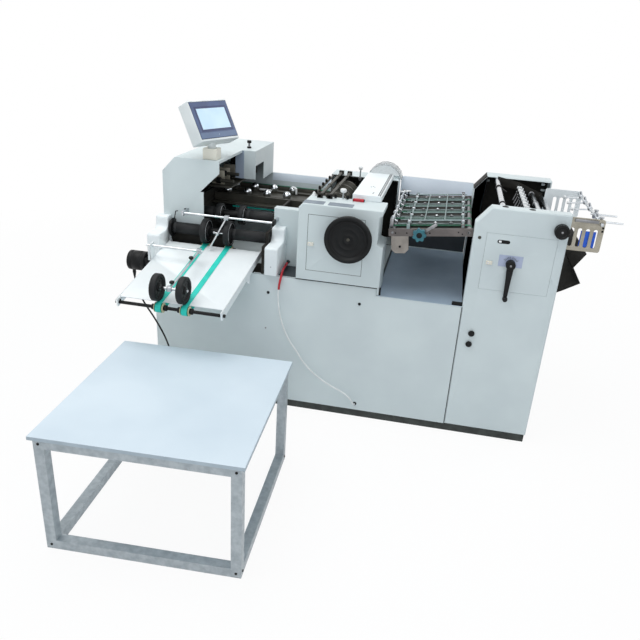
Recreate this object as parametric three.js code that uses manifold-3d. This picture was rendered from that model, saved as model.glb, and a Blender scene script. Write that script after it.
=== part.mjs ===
// Floor-standing paper folding machine with a feed end, a press unit, a knife folding
// unit with its delivery tray, and a separate receiving table.
// Millimetres, +X to the feed end, +Y to the back, +Z up. The origin is the centre of
// the underside of the base plinth.

import * as THREE from 'three';
import { mergeVertices } from 'three/addons/utils/BufferGeometryUtils.js';
import Module from 'manifold-3d';

const wasm = await Module();
wasm.setup();

// Clearances and cutting allowances
const seat = 0.3;
const bore = 0.4;
const overrun = 3;
const easing = 3;
const drillSides = 14;

// Base and casing
const baseLength = 1800;
const baseDepth = 810;
const plinthHeight = 38;
const plinthInset = 5;
const sheet = 4;
const deckHeight = 672;
const recessDrop = 37;
const recessLeft = 147;
const rightPanelStep = 20;
const feedBackRise = 345;
const foldBackRise = 294;

// End frames
const endFrameWidth = 376;
const endFrameHeight = 1080;
const nearFrameThickness = 65;
const farFrameThickness = 105;
const frameWall = 6;
const frameChamferRun = 58;
const frameChamferDrop = 70;
const frameEdge = 5;

// Door in the near end frame
const doorWidth = 284;
const doorHeight = 246;
const doorFromFrameLeft = 54;
const doorDrop = 106;
const doorThickness = 3;
const doorGap = 0.8;
const doorSlotLength = 52;
const doorSlotHeight = 16;
const doorSlotFromLeft = 72;
const doorSlotRise = 214;
const latchFromLeft = 22;
const latchRise = 120;
const latchRadius = 8;
const latchLength = 26;
const latchThickness = 6;
const latchPinRadius = 3;

// Speed lever on the door
const leverFromLeft = 114;
const leverRise = 125;
const leverHubRadius = 20;
const leverHubLength = 34;
const leverShaftRadius = 8;
const leverLength = 150;
const leverLean = 1;
const leverWide = 32;
const leverNarrow = 16;
const leverThickness = 14;
const leverBallRadius = 11;

// Feed knob and push buttons on the near end frame
const feedKnobRadius = 30;
const feedKnobLength = 34;
const feedKnobShaftRadius = 7;
const feedKnobFromRight = 33;
const feedKnobDrop = 65;
const feedKnobGripDrop = 8;
const buttonRadius = 14;
const buttonHeight = 11;
const buttonTravel = 5;
const buttonStemRadius = 7;
const buttonStemLength = 26;
const startButtonFromLeft = 57;
const startButtonDrop = 563;
const stopButtonFromLeft = 53;
const stopButtonDrop = 615;

// Bars between the end frames
const feederBarRadius = 12;
const feederPlateThickness = 6;
const feederPlateHeight = 40;
const feederBarFromLeftShares = [0.287, 0.569, 0.75, 0.888];
const feederBarDropShares = [0.017, 0.034, 0.060, 0.073];

// Paper magazine at the feed end
const magazineReach = 145;
const magazineDrop = 20;
const magazineHeight = 139;
const magazineThickness = 5;
const magazineSlotWidth = 17;
const magazineSlotHeight = 80;
const magazineSlotPitch = 31;
const magazineSlotCount = 4;
const magazineCorner = 10;
const magazineFarDrop = 6;
const magazineFarInset = 26;
const scoopThickness = 4;
const scoopReach = 98;
const scoopNeck = 57;
const scoopGap = 9;
const scoopNeckDrop = 66;
const scoopLipDrop = 131;
const scoopFloorDrop = 172;
const scoopFloorReach = 32;
const stopShaftRadius = 7;
const stopShaftFromEnd = 15;
const stopShaftDrop = 18;
const stopRodRadius = 4;
const stopRodReach = 88;
const stopClampSize = 22;
const stopRodSpread = 127;

// Sloping feed table between the press and the feed end
const feedSlope = 6.4;
const feedRailLeft = 167;
const feedRailDrop = 148;
const feedRailHeight = 32;
const feedRailThickness = 12;
const feedRailSetback = 39;
const feedBoardThickness = 6;
const feedBoardDrop = 3;
const feedRollerRadius = 12;
const feedRollerJournal = 6;
const feedRollerFromEnd = 16;
const feedTapeThickness = 1.4;
const feedTapeCount = 5;
const feedTapeWidth = 22;
const feedBracketLeft = 11;
const feedBracketWidth = 74;
const feedBracketDrop = 76;
const feedBracketChamfer = 16;
const feedBracketThickness = 5;

// Hold-down grid over the feed table
const gridRodRadius = 5;
const gridRodRise = 11;
const gridHingeFromEnd = 42;
const gridFrontFromStart = 84;
const gridStripWidth = 10;
const gridStripThickness = 3;
const gridStripRise = 3;
const gridStripStart = 34;
const gridBlockLength = 14;

// Star knob and clamp lever on the near feed rail
const starKnobRadius = 30;
const starKnobLobes = 7;
const starKnobLobeDepth = 6;
const starKnobThickness = 18;
const starKnobStemRadius = 5;
const starKnobFromStart = 132;
const starKnobStandoff = 8;
const clampFromStart = 152;
const clampLength = 62;
const clampWidth = 13;
const clampThickness = 5;
const clampPinRadius = 4;
const clampLean = 32;

// Press unit
const pressLeft = -222;
const pressWidth = 365;
const pressHeight = 344;
const pressThickness = 170;
const pressProud = 9;
const pressWall = 5;
const pressChamfer = 20;
const pressWaist = 15;
const pressWaistDrop = 34;
const pressWaistHeight = 114;
const pressFootReach = 12;
const pressFootStep = 12;
const pressFootGap = 5;
const farHousingThickness = 145;
const farHousingInset = 17;
const pressAxisFromLeft = 233;
const pressAxisDrop = 120;
const cylinderRadius = 59;
const cylinderJournal = 14;
const discGap = 1;
const discRadius = 68;
const discWidth = 16;
const discCount = 4;
const discMargin = 110;
const numberingShaftRadius = 16;
const numberingLean = 22;
const gearTeeth = 24;
const gearWidth = 16;
const gearToothHeight = 6;
const gearFromFront = 30;
const pressLatchFromLeft = 56;
const pressLatchDrop = 176;
const wheelRadius = 102;
const wheelRimWidth = 26;
const wheelRimThickness = 24;
const wheelWeb = 8;
const wheelHubRadius = 20;
const wheelStandoff = 80;
const coverLeftFromAxis = 26;
const coverWidth = 130;
const coverHeight = 26;
const coverLap = 14;
const coverWall = 3;
const coverHingeInset = 4;
const guardRadius = 92;
const guardThickness = 4;
const guardDepth = 100;
const guardFromAxis = 55;
const guardAxisDrop = 21;
const pressLeverFromAxis = 66;
const pressLeverBossRadius = 9;
const pressLeverRodRadius = 3.5;
const pressLeverBallRadius = 11;
const pressLeverLength = 56;

// Covers at the press side of the folding unit
const sideCoverFront = -260;
const sideCoverDepth = 46;
const sideCoverHeight = 270;
const sideCoverWall = 3;
const sCoverWidth = 60;
const sCoverFront = -420;
const sCoverHeight = 188;
const sCoverShelfRise = 128;
const sCoverPlateGap = 3;
const sCoverTrayGap = 1.2;
const sCoverBlockDepth = 42;
const sCoverSweep = 30;
const sCoverCorner = 12;

// Hood over the folding unit
const hoodFromLeft = 2;
const hoodFront = -275;
const hoodHeight = 455;
const hoodWall = 4;
const hoodChamferRun = 62;
const hoodChamferDrop = 67;
const hoodRoofWidth = 272;
const hoodInnerWidth = 196;
const hoodLipDrop = 56;
const hoodNotchDrop = 147;
const hoodNotchOut = 16;
const roofLipDrop = 12;
const bridgeFront = 66;
const bridgeReach = 341;
const bridgeWidth = 104;
const bridgeFrontDrop = 139;
const bridgeGap = 2;
const archWidth = 148;
const archDrop = 72;
const archRadius = 4;
const screwRadius = 5;
const screwHeadRadius = 11;
const screwHeight = 38;
const screwTipStep = 2.4;
const screwFromRight = 57;
const screwFromFront = 75;

// Folding unit
const foldPlateThickness = 12;
const foldPlateFromLeft = 120;
const foldPlateRightX = -382;
const foldPlateRightFront = -350;
const foldPlateToe = 62;
const foldPlateToeRise = 128;
const foldPlateLeftRise = 258;
const foldPlateRightRise = 233;
const foldPlateStepRise = 174;
const foldPlateStepRun = 6;
const foldPlateRightBack = 56;
const frontRollerY = -302;
const frontRollerRise = 136;
const rollerSleeveRadius = 26;
const rollerShaftRadius = 9;
const rollerCoreRadius = 18;
const frontDiscRadius = 58;
const rollerDiscWidth = 26;
const rearRollerY = -180;
const rearRollerRise = 196;
const rearDiscRadius = 45;
const rearDiscShift = 26;
const sleeveMargin = 6;
const frontSleeveMargin = 24;
const registerRise = 214;
const registerThickness = 6;
const registerFront = 60;
const registerBack = 352;
const railThickness = 12;
const railRise = 20;
const railDrop = 23;
const registerBeam = 16;
const ballRadius = 21;
const ballPitch = 105;
const ballCount = 4;
const ballFromPlate = 56;
const frontBallY = 138;
const backBallY = 275;
const ballBarWidth = 24;
const ballBarHeight = 9;
const ballEndWidth = 10;
const crossRodY = -330;
const crossRodRise = 217;
const crossRodRadius = 5;
const guideRodFromBelt = 108;
const guideRodRun = 68;
const guideRodReach = 42;
const guideRodDrop = 140;
const guideRodRadius = 4;
const guideClampSize = 20;
const guidePostFromHood = 113;

// Delivery tray, its belts and its hold-down wheels
const traySlope = 10.1;
const driveShaftSetback = 99.6;
const driveShaftRise = 56.9;
const trayFromLeft = 40;
const trayPlateGap = 30;
const trayBeltLap = 16;
const traySheet = 3;
const trayFlange = 7;
const trayFlangeDrop = 14;
const trayFrontGap = 16;
const trayShaftRadius = 7;
const trayShaftMargin = 8;
const pulleyRadius = 19;
const pulleyWidth = 32;
const collarRadius = 12;
const collarWidth = 14;
const beltSpan = 541;
const beltWidth = 24;
const beltThickness = 1.6;
const beltShare = 45 / 112;
const beltPitch = 110;
const trayUnderBelt = 1;
const trayTabFromEnd = 188;
const trayTabWidth = 40;
const trayTabDrop = 35;
const driveShaftRadius = 8;
const holdWheelRadius = 56;
const holdWheelWidth = 25;
const holdWheelAt = 27;
const holdWheelShift = 12;
const holdAxleRadius = 6;
const armRodRadius = 5;
const armPivotShift = 22;
const armFromBelt = 40;
const armBlockSize = 20;
const armBracketWidth = 44;
const armBracketThickness = 5;
const armRodOverhang = 27;

// Delivery motor at the left end
const motorRadius = 46;
const motorLength = 88;
const motorY = -360;
const motorDrop = 29;
const motorNeck = 50;
const motorFlangeSize = 70;
const glandRadius = 8;
const glandLength = 14;
const glandFromEnd = 16;

// Touch screen on its neck
const neckWidth = 66;
const neckDepth = 62;
const neckFromHood = 223;
const neckSetback = 13;
const neckHeight = 49;
const neckStemRadius = 18;
const neckStemLap = 6;
const screenWidth = 240;
const screenHeight = 185;
const screenDepth = 66;
const screenFromNeck = 3;
const screenY = -210;
const screenRise = 168;
const screenYaw = 66;
const screenTilt = 29;
const screenEdge = 5;
const screenStemReach = 60;

// Receiving table
const tableWidth = 713;
const tableDepth = 731;
const tableHeight = 461;
const tableTopThickness = 14;
const tableX = -471;
const tableY = -1188;
const tableTurn = 2.3;
const tubeSize = 36;
const tubeInset = 12;

// Free cables: points chosen by hand, diameter beside them. The motor cable's X counts
// from the left end of the casing.
const motorCableDiameter = 8;
const motorCableRoute = [
  [-122, -360, 583], [-122, -360, 566], [-119, -363, 545], [-106, -378, 518], [-82, -402, 491],
  [-53, -424, 466], [-27, -438, 441], [-4, -444, 414], [14, -446, 388], [31, -447, 360],
  [47, -447, 330], [62, -447, 298], [74, -447, 265], [85, -446, 232], [95, -445, 200],
  [103, -443, 170], [110, -439, 147], [116, -432, 129], [119, -423, 119], [119, -414, 116],
  [119, -405.3, 116],
];
const supplyCableDiameter = 7;
const supplyCableRoute = [
  [-294, -260.3, 692], [-294, -285, 692], [-293, -310, 692], [-292, -335, 692], [-291, -362, 691],
  [-289, -385, 689], [-288, -400, 684], [-288, -413, 672], [-290, -419, 656], [-293, -422, 636],
  [-295, -423, 612], [-296, -424, 589], [-294, -425, 550], [-288, -426, 510], [-279, -427, 472],
  [-266, -428, 434],
  [-250, -429, 397], [-228, -430, 360], [-199, -430, 321], [-165, -431, 272], [-119, -432, 225],
  [-67, -433, 188], [-14, -435, 161], [31, -437, 143], [61, -438, 124], [80, -436, 102],
  [89, -429, 84], [93, -419, 75], [94, -411, 72], [94, -405.3, 72],
];

// Places that follow from the sizes above
const left = -baseLength / 2;
const right = baseLength / 2;
const front = -baseDepth / 2;
const back = baseDepth / 2;
const frameLeft = right - endFrameWidth;
const nearFrameInner = front + nearFrameThickness;
const farFrameInner = back - farFrameThickness;
const recessHeight = deckHeight - recessDrop;
const doorBottom = endFrameHeight - doorDrop - doorHeight;
const feedKnobHeight = endFrameHeight - feedKnobDrop;
const startButtonHeight = endFrameHeight - startButtonDrop;
const stopButtonHeight = endFrameHeight - stopButtonDrop;
const magazineTop = endFrameHeight - magazineDrop;
const magazineBottom = magazineTop - magazineHeight;
const scoopTop = magazineBottom - scoopGap;
const scoopFloor = scoopTop - scoopFloorDrop;
const rightPanelHeight = scoopFloor - rightPanelStep;
const feedRailTop = endFrameHeight - feedRailDrop;
const feedBackHeight = deckHeight + feedBackRise;
const foldBackHeight = deckHeight + foldBackRise;
const pressTop = deckHeight + pressHeight;
const pressWaistTop = pressTop - pressWaistDrop;
const pressWaistBottom = pressWaistTop - pressWaistHeight;
const pressFootTop = pressWaistBottom - pressFootStep;
const pressFootBottom = recessHeight + pressFootGap;
const pressAxisHeight = pressTop - pressAxisDrop;
const pressLatchHeight = pressTop - pressLatchDrop;
const guardAxisHeight = pressTop - guardAxisDrop;
const sideCoverTop = deckHeight + sideCoverHeight;
const sCoverTop = deckHeight + sCoverHeight;
const sCoverShelf = deckHeight + sCoverShelfRise;
const hoodTop = deckHeight + hoodHeight;
const bridgeBottom = foldBackHeight + bridgeGap;
const hoodLeft = left + hoodFromLeft;
const hoodRoofRight = hoodLeft + hoodRoofWidth;
const hoodInnerRight = hoodLeft + hoodInnerWidth;
const bridgeRight = hoodLeft + bridgeReach;
const bridgeLeft = bridgeRight - bridgeWidth;
const foldPlateLeftX = left + foldPlateFromLeft;
const ballFirstX = foldPlateLeftX + ballFromPlate;
const trayLeft = left + trayFromLeft;
const trayRight = foldPlateRightX - trayPlateGap;
const trayLength = beltSpan - trayBeltLap;
const trayTabAt = trayLength - trayTabFromEnd;
const armPivotAt = trayTabAt + armPivotShift;
const beltLeftX = trayLeft + (trayRight - trayLeft) * beltShare;
const beltRightX = beltLeftX + beltPitch;
const armX = beltLeftX + armFromBelt;
const guideRodX = beltLeftX + guideRodFromBelt;
const foldPlateLeftTop = deckHeight + foldPlateLeftRise;
const foldPlateRightTop = deckHeight + foldPlateRightRise;
const foldPlateRightLow = deckHeight + foldPlateStepRise;
const frontRollerZ = deckHeight + frontRollerRise;
const rearRollerZ = deckHeight + rearRollerRise;
const registerTop = deckHeight + registerRise;
const crossRodZ = deckHeight + crossRodRise;
const motorZ = deckHeight - motorDrop;
const neckTop = hoodTop + neckHeight;
const screenZ = hoodTop + screenRise;
const neckX = hoodLeft + neckFromHood;
const screenX = neckX + screenFromNeck;
const doorLeft = frameLeft + doorFromFrameLeft;
const doorRight = doorLeft + doorWidth;
const leverX = doorLeft + leverFromLeft;
const leverZ = doorBottom + leverRise;
const pressRight = pressLeft + pressWidth;
const pressFront = front - pressProud;
const pressBack = pressFront + pressThickness;
const farHousingFront = back - farHousingThickness;
const farHousingLeft = pressLeft + farHousingInset;
const pressAxisX = pressLeft + pressAxisFromLeft;
const shaftDistance = cylinderRadius + discRadius + discGap;
const lean = THREE.MathUtils.degToRad(numberingLean);
const numberingX = pressAxisX - shaftDistance * Math.cos(lean);
const numberingZ = pressAxisHeight + shaftDistance * Math.sin(lean);
const sCoverRightX = foldPlateRightX + foldPlateThickness + sCoverPlateGap + seat;
const sCoverLeftX = trayLeft - sCoverWidth - sCoverTrayGap;
const beltInner = pulleyRadius + seat;
const beltOuter = beltInner + beltThickness;
const slope = THREE.MathUtils.degToRad(traySlope);
const driveShaftY = front + driveShaftSetback;
const driveShaftZ = deckHeight + driveShaftRise;
const trayShaftY = driveShaftY - beltSpan * Math.cos(slope);
const trayShaftZ = driveShaftZ - beltSpan * Math.sin(slope);

// Small geometry kit

const axes = {
  x: [[0, 1, 0], [0, 0, 1], [1, 0, 0]],
  y: [[1, 0, 0], [0, 0, 1], [0, -1, 0]],
  z: [[1, 0, 0], [0, 1, 0], [0, 0, 1]],
};

function clean(geometry) {
  const source = geometry.clone();
  for (const name of Object.keys(source.attributes)) {
    if (name !== 'position') source.deleteAttribute(name);
  }
  source.clearGroups();
  const merged = mergeVertices(source, 1e-4);
  const index = [];
  const old = merged.index.array;
  for (let i = 0; i < old.length; i += 3) {
    const [a, b, c] = [old[i], old[i + 1], old[i + 2]];
    if (a !== b && b !== c && c !== a) index.push(a, b, c);
  }
  const position = merged.attributes.position;
  let volume = 0;
  const [p, q, r] = [new THREE.Vector3(), new THREE.Vector3(), new THREE.Vector3()];
  for (let i = 0; i < index.length; i += 3) {
    p.fromBufferAttribute(position, index[i]);
    q.fromBufferAttribute(position, index[i + 1]);
    r.fromBufferAttribute(position, index[i + 2]);
    volume += p.dot(q.cross(r));
  }
  if (volume < 0) index.reverse();
  merged.setIndex(index);
  return merged;
}

function toSolid(geometry) {
  const merged = clean(geometry);
  return new wasm.Manifold(new wasm.Mesh({
    numProp: 3,
    vertProperties: new Float32Array(merged.attributes.position.array),
    triVerts: new Uint32Array(merged.index.array),
  }));
}

function fromSolid(solid) {
  const mesh = solid.getMesh();
  const geometry = new THREE.BufferGeometry();
  geometry.setAttribute('position', new THREE.BufferAttribute(new Float32Array(mesh.vertProperties), 3));
  geometry.setIndex(Array.from(mesh.triVerts));
  return geometry;
}

function join(...parts) {
  return fromSolid(parts.map(toSolid).reduce((sum, part) => sum.add(part)));
}

function cut(body, ...tools) {
  return fromSolid(tools.map(toSolid).reduce((rest, tool) => rest.subtract(tool), toSolid(body)));
}

function box(x0, x1, y0, y1, z0, z1) {
  const geometry = new THREE.BoxGeometry(x1 - x0, y1 - y0, z1 - z0);
  return geometry.translate((x0 + x1) / 2, (y0 + y1) / 2, (z0 + z1) / 2);
}

function outline(points) {
  return new THREE.Shape(points.map(([u, v]) => new THREE.Vector2(u, v)));
}

function prism(shape, axis, from, to, edge = 0) {
  const geometry = new THREE.ExtrudeGeometry(shape, {
    depth: to - from - 2 * edge,
    bevelEnabled: edge > 0,
    bevelThickness: edge,
    bevelSize: edge,
    bevelOffset: -edge,
    bevelSegments: 1,
    curveSegments: 4,
  });
  const [u, v, w] = axes[axis].map((column) => new THREE.Vector3(...column));
  const start = axis === 'y' ? to - edge : from + edge;
  const turn = new THREE.Matrix4().makeBasis(u, v, w);
  const shift = new THREE.Vector3();
  shift[axis] = start;
  return geometry.applyMatrix4(turn).translate(shift.x, shift.y, shift.z);
}

function plate(points, axis, from, to, edge = 0) {
  return prism(outline(points), axis, from, to, edge);
}

function turned(profile, axis, a, b, segments = 20) {
  const points = profile.map(([radius, along]) => new THREE.Vector2(radius, along));
  const geometry = new THREE.LatheGeometry(points, segments);
  if (axis === 'x') return geometry.rotateZ(-Math.PI / 2).translate(0, a, b);
  if (axis === 'z') return geometry.rotateX(Math.PI / 2).translate(a, b, 0);
  return geometry.translate(a, 0, b);
}

function rod(axis, radius, from, to, a, b, segments = 12) {
  return turned([[0, from], [radius, from], [radius, to], [0, to]], axis, a, b, segments);
}

function stepped(sections, axis, a, b, segments = 20) {
  const profile = [[0, sections[0][0]]];
  for (const [from, to, radius] of sections) profile.push([radius, from], [radius, to]);
  profile.push([0, sections[sections.length - 1][1]]);
  return turned(profile, axis, a, b, segments);
}

function between(start, end, radius, segments = 10) {
  const a = new THREE.Vector3(...start);
  const b = new THREE.Vector3(...end);
  const geometry = new THREE.CylinderGeometry(radius, radius, a.distanceTo(b), segments);
  const direction = b.clone().sub(a).normalize();
  const turn = new THREE.Quaternion().setFromUnitVectors(new THREE.Vector3(0, 1, 0), direction);
  const middle = a.add(b).multiplyScalar(0.5);
  return geometry.applyQuaternion(turn).translate(middle.x, middle.y, middle.z);
}

function ball(radius, x, y, z) {
  return new THREE.SphereGeometry(radius, 12, 8).translate(x, y, z);
}

function inset(points, distance) {
  const count = points.length;
  const lines = points.map(([x0, y0], i) => {
    const [x1, y1] = points[(i + 1) % count];
    const length = Math.hypot(x1 - x0, y1 - y0);
    const [nx, ny] = [-(y1 - y0) / length, (x1 - x0) / length];
    return [nx, ny, nx * x0 + ny * y0 + distance];
  });
  return points.map((_, i) => {
    const [a, b, c] = lines[(i + count - 1) % count];
    const [d, e, f] = lines[i];
    const scale = a * e - b * d;
    return [(c * e - b * f) / scale, (a * f - c * d) / scale];
  });
}

function strip(points, thickness) {
  const sides = [thickness / 2, -thickness / 2].map((offset) => points.map(([x, y], i) => {
    const [px, py] = points[Math.max(i - 1, 0)];
    const [qx, qy] = points[Math.min(i + 1, points.length - 1)];
    const first = new THREE.Vector2(x - px, y - py).normalize();
    const second = new THREE.Vector2(qx - x, qy - y).normalize();
    const along = first.clone().add(second).normalize();
    const reach = offset / (i > 0 && i < points.length - 1 ? along.dot(second) : 1);
    return [x - along.y * reach, y + along.x * reach];
  }));
  return outline([...sides[0], ...sides[1].reverse()]);
}

function circumscribed(radius) {
  return radius / Math.cos(Math.PI / drillSides);
}

function drill(axis, radius, from, to, a, b) {
  return rod(axis, circumscribed(radius + bore), from, to, a, b, drillSides);
}

function roundHole(x, y, radius) {
  const points = Array.from({ length: drillSides }, (_, i) => {
    const angle = (-i / drillSides) * Math.PI * 2;
    const reach = circumscribed(radius + bore);
    return new THREE.Vector2(x + reach * Math.cos(angle), y + reach * Math.sin(angle));
  });
  return new THREE.Path(points);
}

function stadium(length, radius) {
  const shape = new THREE.Shape();
  shape.absarc(0, 0, radius, Math.PI / 2, Math.PI * 1.5, false);
  shape.absarc(length, 0, radius, -Math.PI / 2, Math.PI / 2, false);
  return shape;
}

function rounded(x0, x1, y0, y1, radius) {
  const shape = new THREE.Shape();
  shape.absarc(x1 - radius, y0 + radius, radius, -Math.PI / 2, 0, false);
  shape.absarc(x1 - radius, y1 - radius, radius, 0, Math.PI / 2, false);
  shape.absarc(x0 + radius, y1 - radius, radius, Math.PI / 2, Math.PI, false);
  shape.absarc(x0 + radius, y0 + radius, radius, Math.PI, Math.PI * 1.5, false);
  return shape;
}

function tube(route, diameter, sides, steps) {
  const curve = new THREE.CatmullRomCurve3(route.map((point) => new THREE.Vector3(...point)));
  const section = new THREE.Shape();
  section.absarc(0, 0, diameter / 2, 0, Math.PI * 2, false);
  return new THREE.ExtrudeGeometry(section, { steps, curveSegments: sides / 2, extrudePath: curve });
}

// Finishes
const finish = (color, roughness, metalness = 0) => (
  new THREE.MeshStandardMaterial({ color, roughness, metalness }));
const panelPaint = finish(0xd3dcdc, 0.45);
const plinthPaint = finish(0x232826, 0.6);
const darkPaint = finish(0x2b2b29, 0.5);
const blackPlastic = finish(0x151719, 0.45);
const blackRubber = finish(0x1b1c1e, 0.75);
const chrome = finish(0xc8ccd0, 0.18, 1);
const steel = finish(0x9aa0a3, 0.35, 1);
const whitePaint = finish(0xeef1f0, 0.4);
const creamPaint = finish(0xe9e4d6, 0.5);
const beltGreen = finish(0x27cdb8, 0.6);
const knobTeal = finish(0x2f7f8c, 0.5);
const beigePlate = finish(0xb5ab98, 0.5, 0.5);
const clearGuard = finish(0xdde3e8, 0.2);
const tablePaint = finish(0xd8e8f0, 0.4);
const galvanised = finish(0xa9b0b5, 0.4, 0.9);
const whiteCable = finish(0xdfe4e4, 0.5);

const machine = new THREE.Group();

function add(name, geometry, material, parent = machine) {
  const mesh = new THREE.Mesh(clean(geometry), material);
  mesh.name = name;
  parent.add(mesh);
}

// Base and casing

function addBase() {
  add('base_plinth', box(left + plinthInset, right - plinthInset, front + plinthInset, back - plinthInset,
    0, plinthHeight), plinthPaint);

  const panelBottom = plinthHeight + seat;
  const frontOutline = outline([
    [left, panelBottom], [frameLeft - seat, panelBottom],
    [frameLeft - seat, recessHeight - sheet - seat], [recessLeft - sheet - seat, recessHeight - sheet - seat],
    [recessLeft - sheet - seat, deckHeight - sheet - seat], [left, deckHeight - sheet - seat],
  ]);
  add('front_panel', prism(frontOutline, 'y', front, front + sheet), panelPaint);

  const rearOutline = [
    [left, panelBottom], [frameLeft - seat, panelBottom], [frameLeft - seat, feedBackHeight],
    [recessLeft + seat, feedBackHeight], [recessLeft + seat, deckHeight],
    [farHousingLeft - seat, deckHeight], [farHousingLeft - seat, foldBackHeight],
    [bridgeRight + seat, foldBackHeight], [bridgeRight + seat, deckHeight], [left, deckHeight],
  ];
  add('rear_casing', join(
    plate(rearOutline, 'y', back - sheet, back),
    box(left, left + sheet, front + sheet + seat, back, panelBottom, deckHeight - sheet - seat),
  ), panelPaint);

  add('right_end_panel', box(right - sheet, right, nearFrameInner + seat, farFrameInner - seat,
    panelBottom, rightPanelHeight), panelPaint);

  const deckOutline = [
    [left, deckHeight - sheet], [recessLeft - sheet, deckHeight - sheet],
    [recessLeft - sheet, recessHeight - sheet], [frameLeft - seat, recessHeight - sheet],
    [frameLeft - seat, recessHeight], [recessLeft, recessHeight], [recessLeft, deckHeight],
    [left, deckHeight],
  ];
  add('deck', plate(deckOutline, 'y', front, back - sheet - seat), panelPaint);
}

// End frames: pans that open towards each other

function frameOutline() {
  const bottom = plinthHeight + seat;
  return [
    [frameLeft, bottom], [right, bottom], [right, endFrameHeight],
    [frameLeft + frameChamferRun, endFrameHeight], [frameLeft, endFrameHeight - frameChamferDrop],
  ];
}

function addEndFrames() {
  const points = frameOutline();
  const hollow = inset(points, frameWall);
  const slotShape = rounded(doorLeft + doorSlotFromLeft - doorSlotLength / 2,
    doorLeft + doorSlotFromLeft + doorSlotLength / 2, doorBottom + doorSlotRise - doorSlotHeight / 2,
    doorBottom + doorSlotRise + doorSlotHeight / 2, doorSlotHeight / 2);
  const rebate = box(doorLeft - doorGap, doorRight + doorGap, front - overrun, front + doorThickness + seat,
    doorBottom - doorGap, doorBottom + doorHeight + doorGap);
  const throughWall = (radius, x, z) => drill('y', radius, front - overrun,
    front + frameWall + overrun, x, z);
  add('near_end_frame', cut(
    plate(points, 'y', front, nearFrameInner, frameEdge),
    plate(hollow, 'y', front + frameWall, nearFrameInner + overrun),
    rebate,
    prism(slotShape, 'y', front, front + frameWall + overrun),
    throughWall(feedKnobShaftRadius, right - feedKnobFromRight, feedKnobHeight),
    throughWall(buttonStemRadius, frameLeft + startButtonFromLeft, startButtonHeight),
    throughWall(buttonStemRadius, frameLeft + stopButtonFromLeft, stopButtonHeight),
  ), panelPaint);
  add('far_end_frame', cut(
    plate(points, 'y', farFrameInner, back, frameEdge),
    plate(hollow, 'y', farFrameInner - overrun, back - frameWall),
  ), panelPaint);
}

// Door with its latch and speed lever

function latch(x, z, faceY, pinDepth) {
  const shape = rounded(x - latchRadius, x + latchLength - latchRadius,
    z - latchRadius, z + latchRadius, latchRadius);
  return join(
    prism(shape, 'y', faceY - seat - latchThickness, faceY - seat),
    rod('y', latchPinRadius, faceY - seat - latchThickness / 2, faceY + pinDepth, x, z, 12),
  );
}

function addDoor() {
  const latchX = doorLeft + latchFromLeft;
  const latchZ = doorBottom + latchRise;
  const shape = outline([
    [doorLeft, doorBottom], [doorRight, doorBottom],
    [doorRight, doorBottom + doorHeight], [doorLeft, doorBottom + doorHeight],
  ]);
  shape.holes.push(roundHole(leverX, leverZ, leverShaftRadius));
  shape.holes.push(roundHole(latchX, latchZ, latchPinRadius));
  const slotShape = rounded(doorLeft + doorSlotFromLeft - doorSlotLength / 2,
    doorLeft + doorSlotFromLeft + doorSlotLength / 2, doorBottom + doorSlotRise - doorSlotHeight / 2,
    doorBottom + doorSlotRise + doorSlotHeight / 2, doorSlotHeight / 2);
  shape.holes.push(new THREE.Path(slotShape.getPoints(4).reverse()));
  add('frame_door', prism(shape, 'y', front, front + doorThickness), panelPaint);
  add('door_latch', latch(latchX, latchZ, front, doorThickness), creamPaint);

  const hubFace = front - seat;
  const armTop = hubFace - leverHubLength + leverThickness / 2;
  const tip = [leverX + leverLean, leverZ - leverLength];
  const arm = outline([
    [leverX - leverWide / 2, leverZ], [tip[0] - leverNarrow / 2, tip[1]],
    [tip[0] + leverNarrow / 2, tip[1]], [leverX + leverWide / 2, leverZ],
  ]);
  add('speed_lever', join(
    rod('y', leverHubRadius, hubFace - leverHubLength, hubFace, leverX, leverZ, 28),
    rod('y', leverShaftRadius, hubFace - leverHubLength / 2, front + doorThickness, leverX, leverZ),
    prism(arm, 'y', armTop - leverThickness / 2, armTop + leverThickness / 2),
    ball(leverBallRadius, tip[0], armTop, tip[1]),
  ), blackPlastic);
}

// Knob and push buttons

function addControls() {
  const knobX = right - feedKnobFromRight;
  const face = front - seat;
  const grip = feedKnobRadius - feedKnobGripDrop;
  add('feed_knob', turned([
    [0, face - feedKnobLength], [grip, face - feedKnobLength], [grip, face - feedKnobLength / 2],
    [feedKnobRadius, face - feedKnobLength / 2], [feedKnobRadius, face],
    [feedKnobShaftRadius, face], [feedKnobShaftRadius, nearFrameInner], [0, nearFrameInner],
  ], 'y', knobX, feedKnobHeight), blackPlastic);
  const button = (x, z) => turned([
    [0, face - buttonHeight], [buttonRadius, face - buttonHeight],
    [buttonRadius, face - buttonTravel], [buttonStemRadius, face - buttonTravel],
    [buttonStemRadius, face + buttonStemLength], [0, face + buttonStemLength],
  ], 'y', x, z, 20);
  add('start_button', button(frameLeft + startButtonFromLeft, startButtonHeight), blackPlastic);
  add('stop_button', button(frameLeft + stopButtonFromLeft, stopButtonHeight), blackPlastic);
}

// Bars between the end frames, held by one strip at each frame

function addFeederBars() {
  const places = feederBarFromLeftShares.map((share, i) => [
    frameLeft + share * endFrameWidth, endFrameHeight * (1 - feederBarDropShares[i])]);
  const nearFace = nearFrameInner + seat;
  const farFace = farFrameInner - seat;
  const bars = places.map(([x, z]) => rod('y', feederBarRadius, nearFace, farFace, x, z));
  const line = places.map(([x, z]) => [x, z]);
  const strips = [nearFace, farFace - feederPlateThickness].map((y) => prism(
    strip(line, feederPlateHeight), 'y', y, y + feederPlateThickness));
  add('feeder_bars', join(...bars, ...strips), chrome);
}

// Magazine side plates, scoop and stop rods

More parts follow.
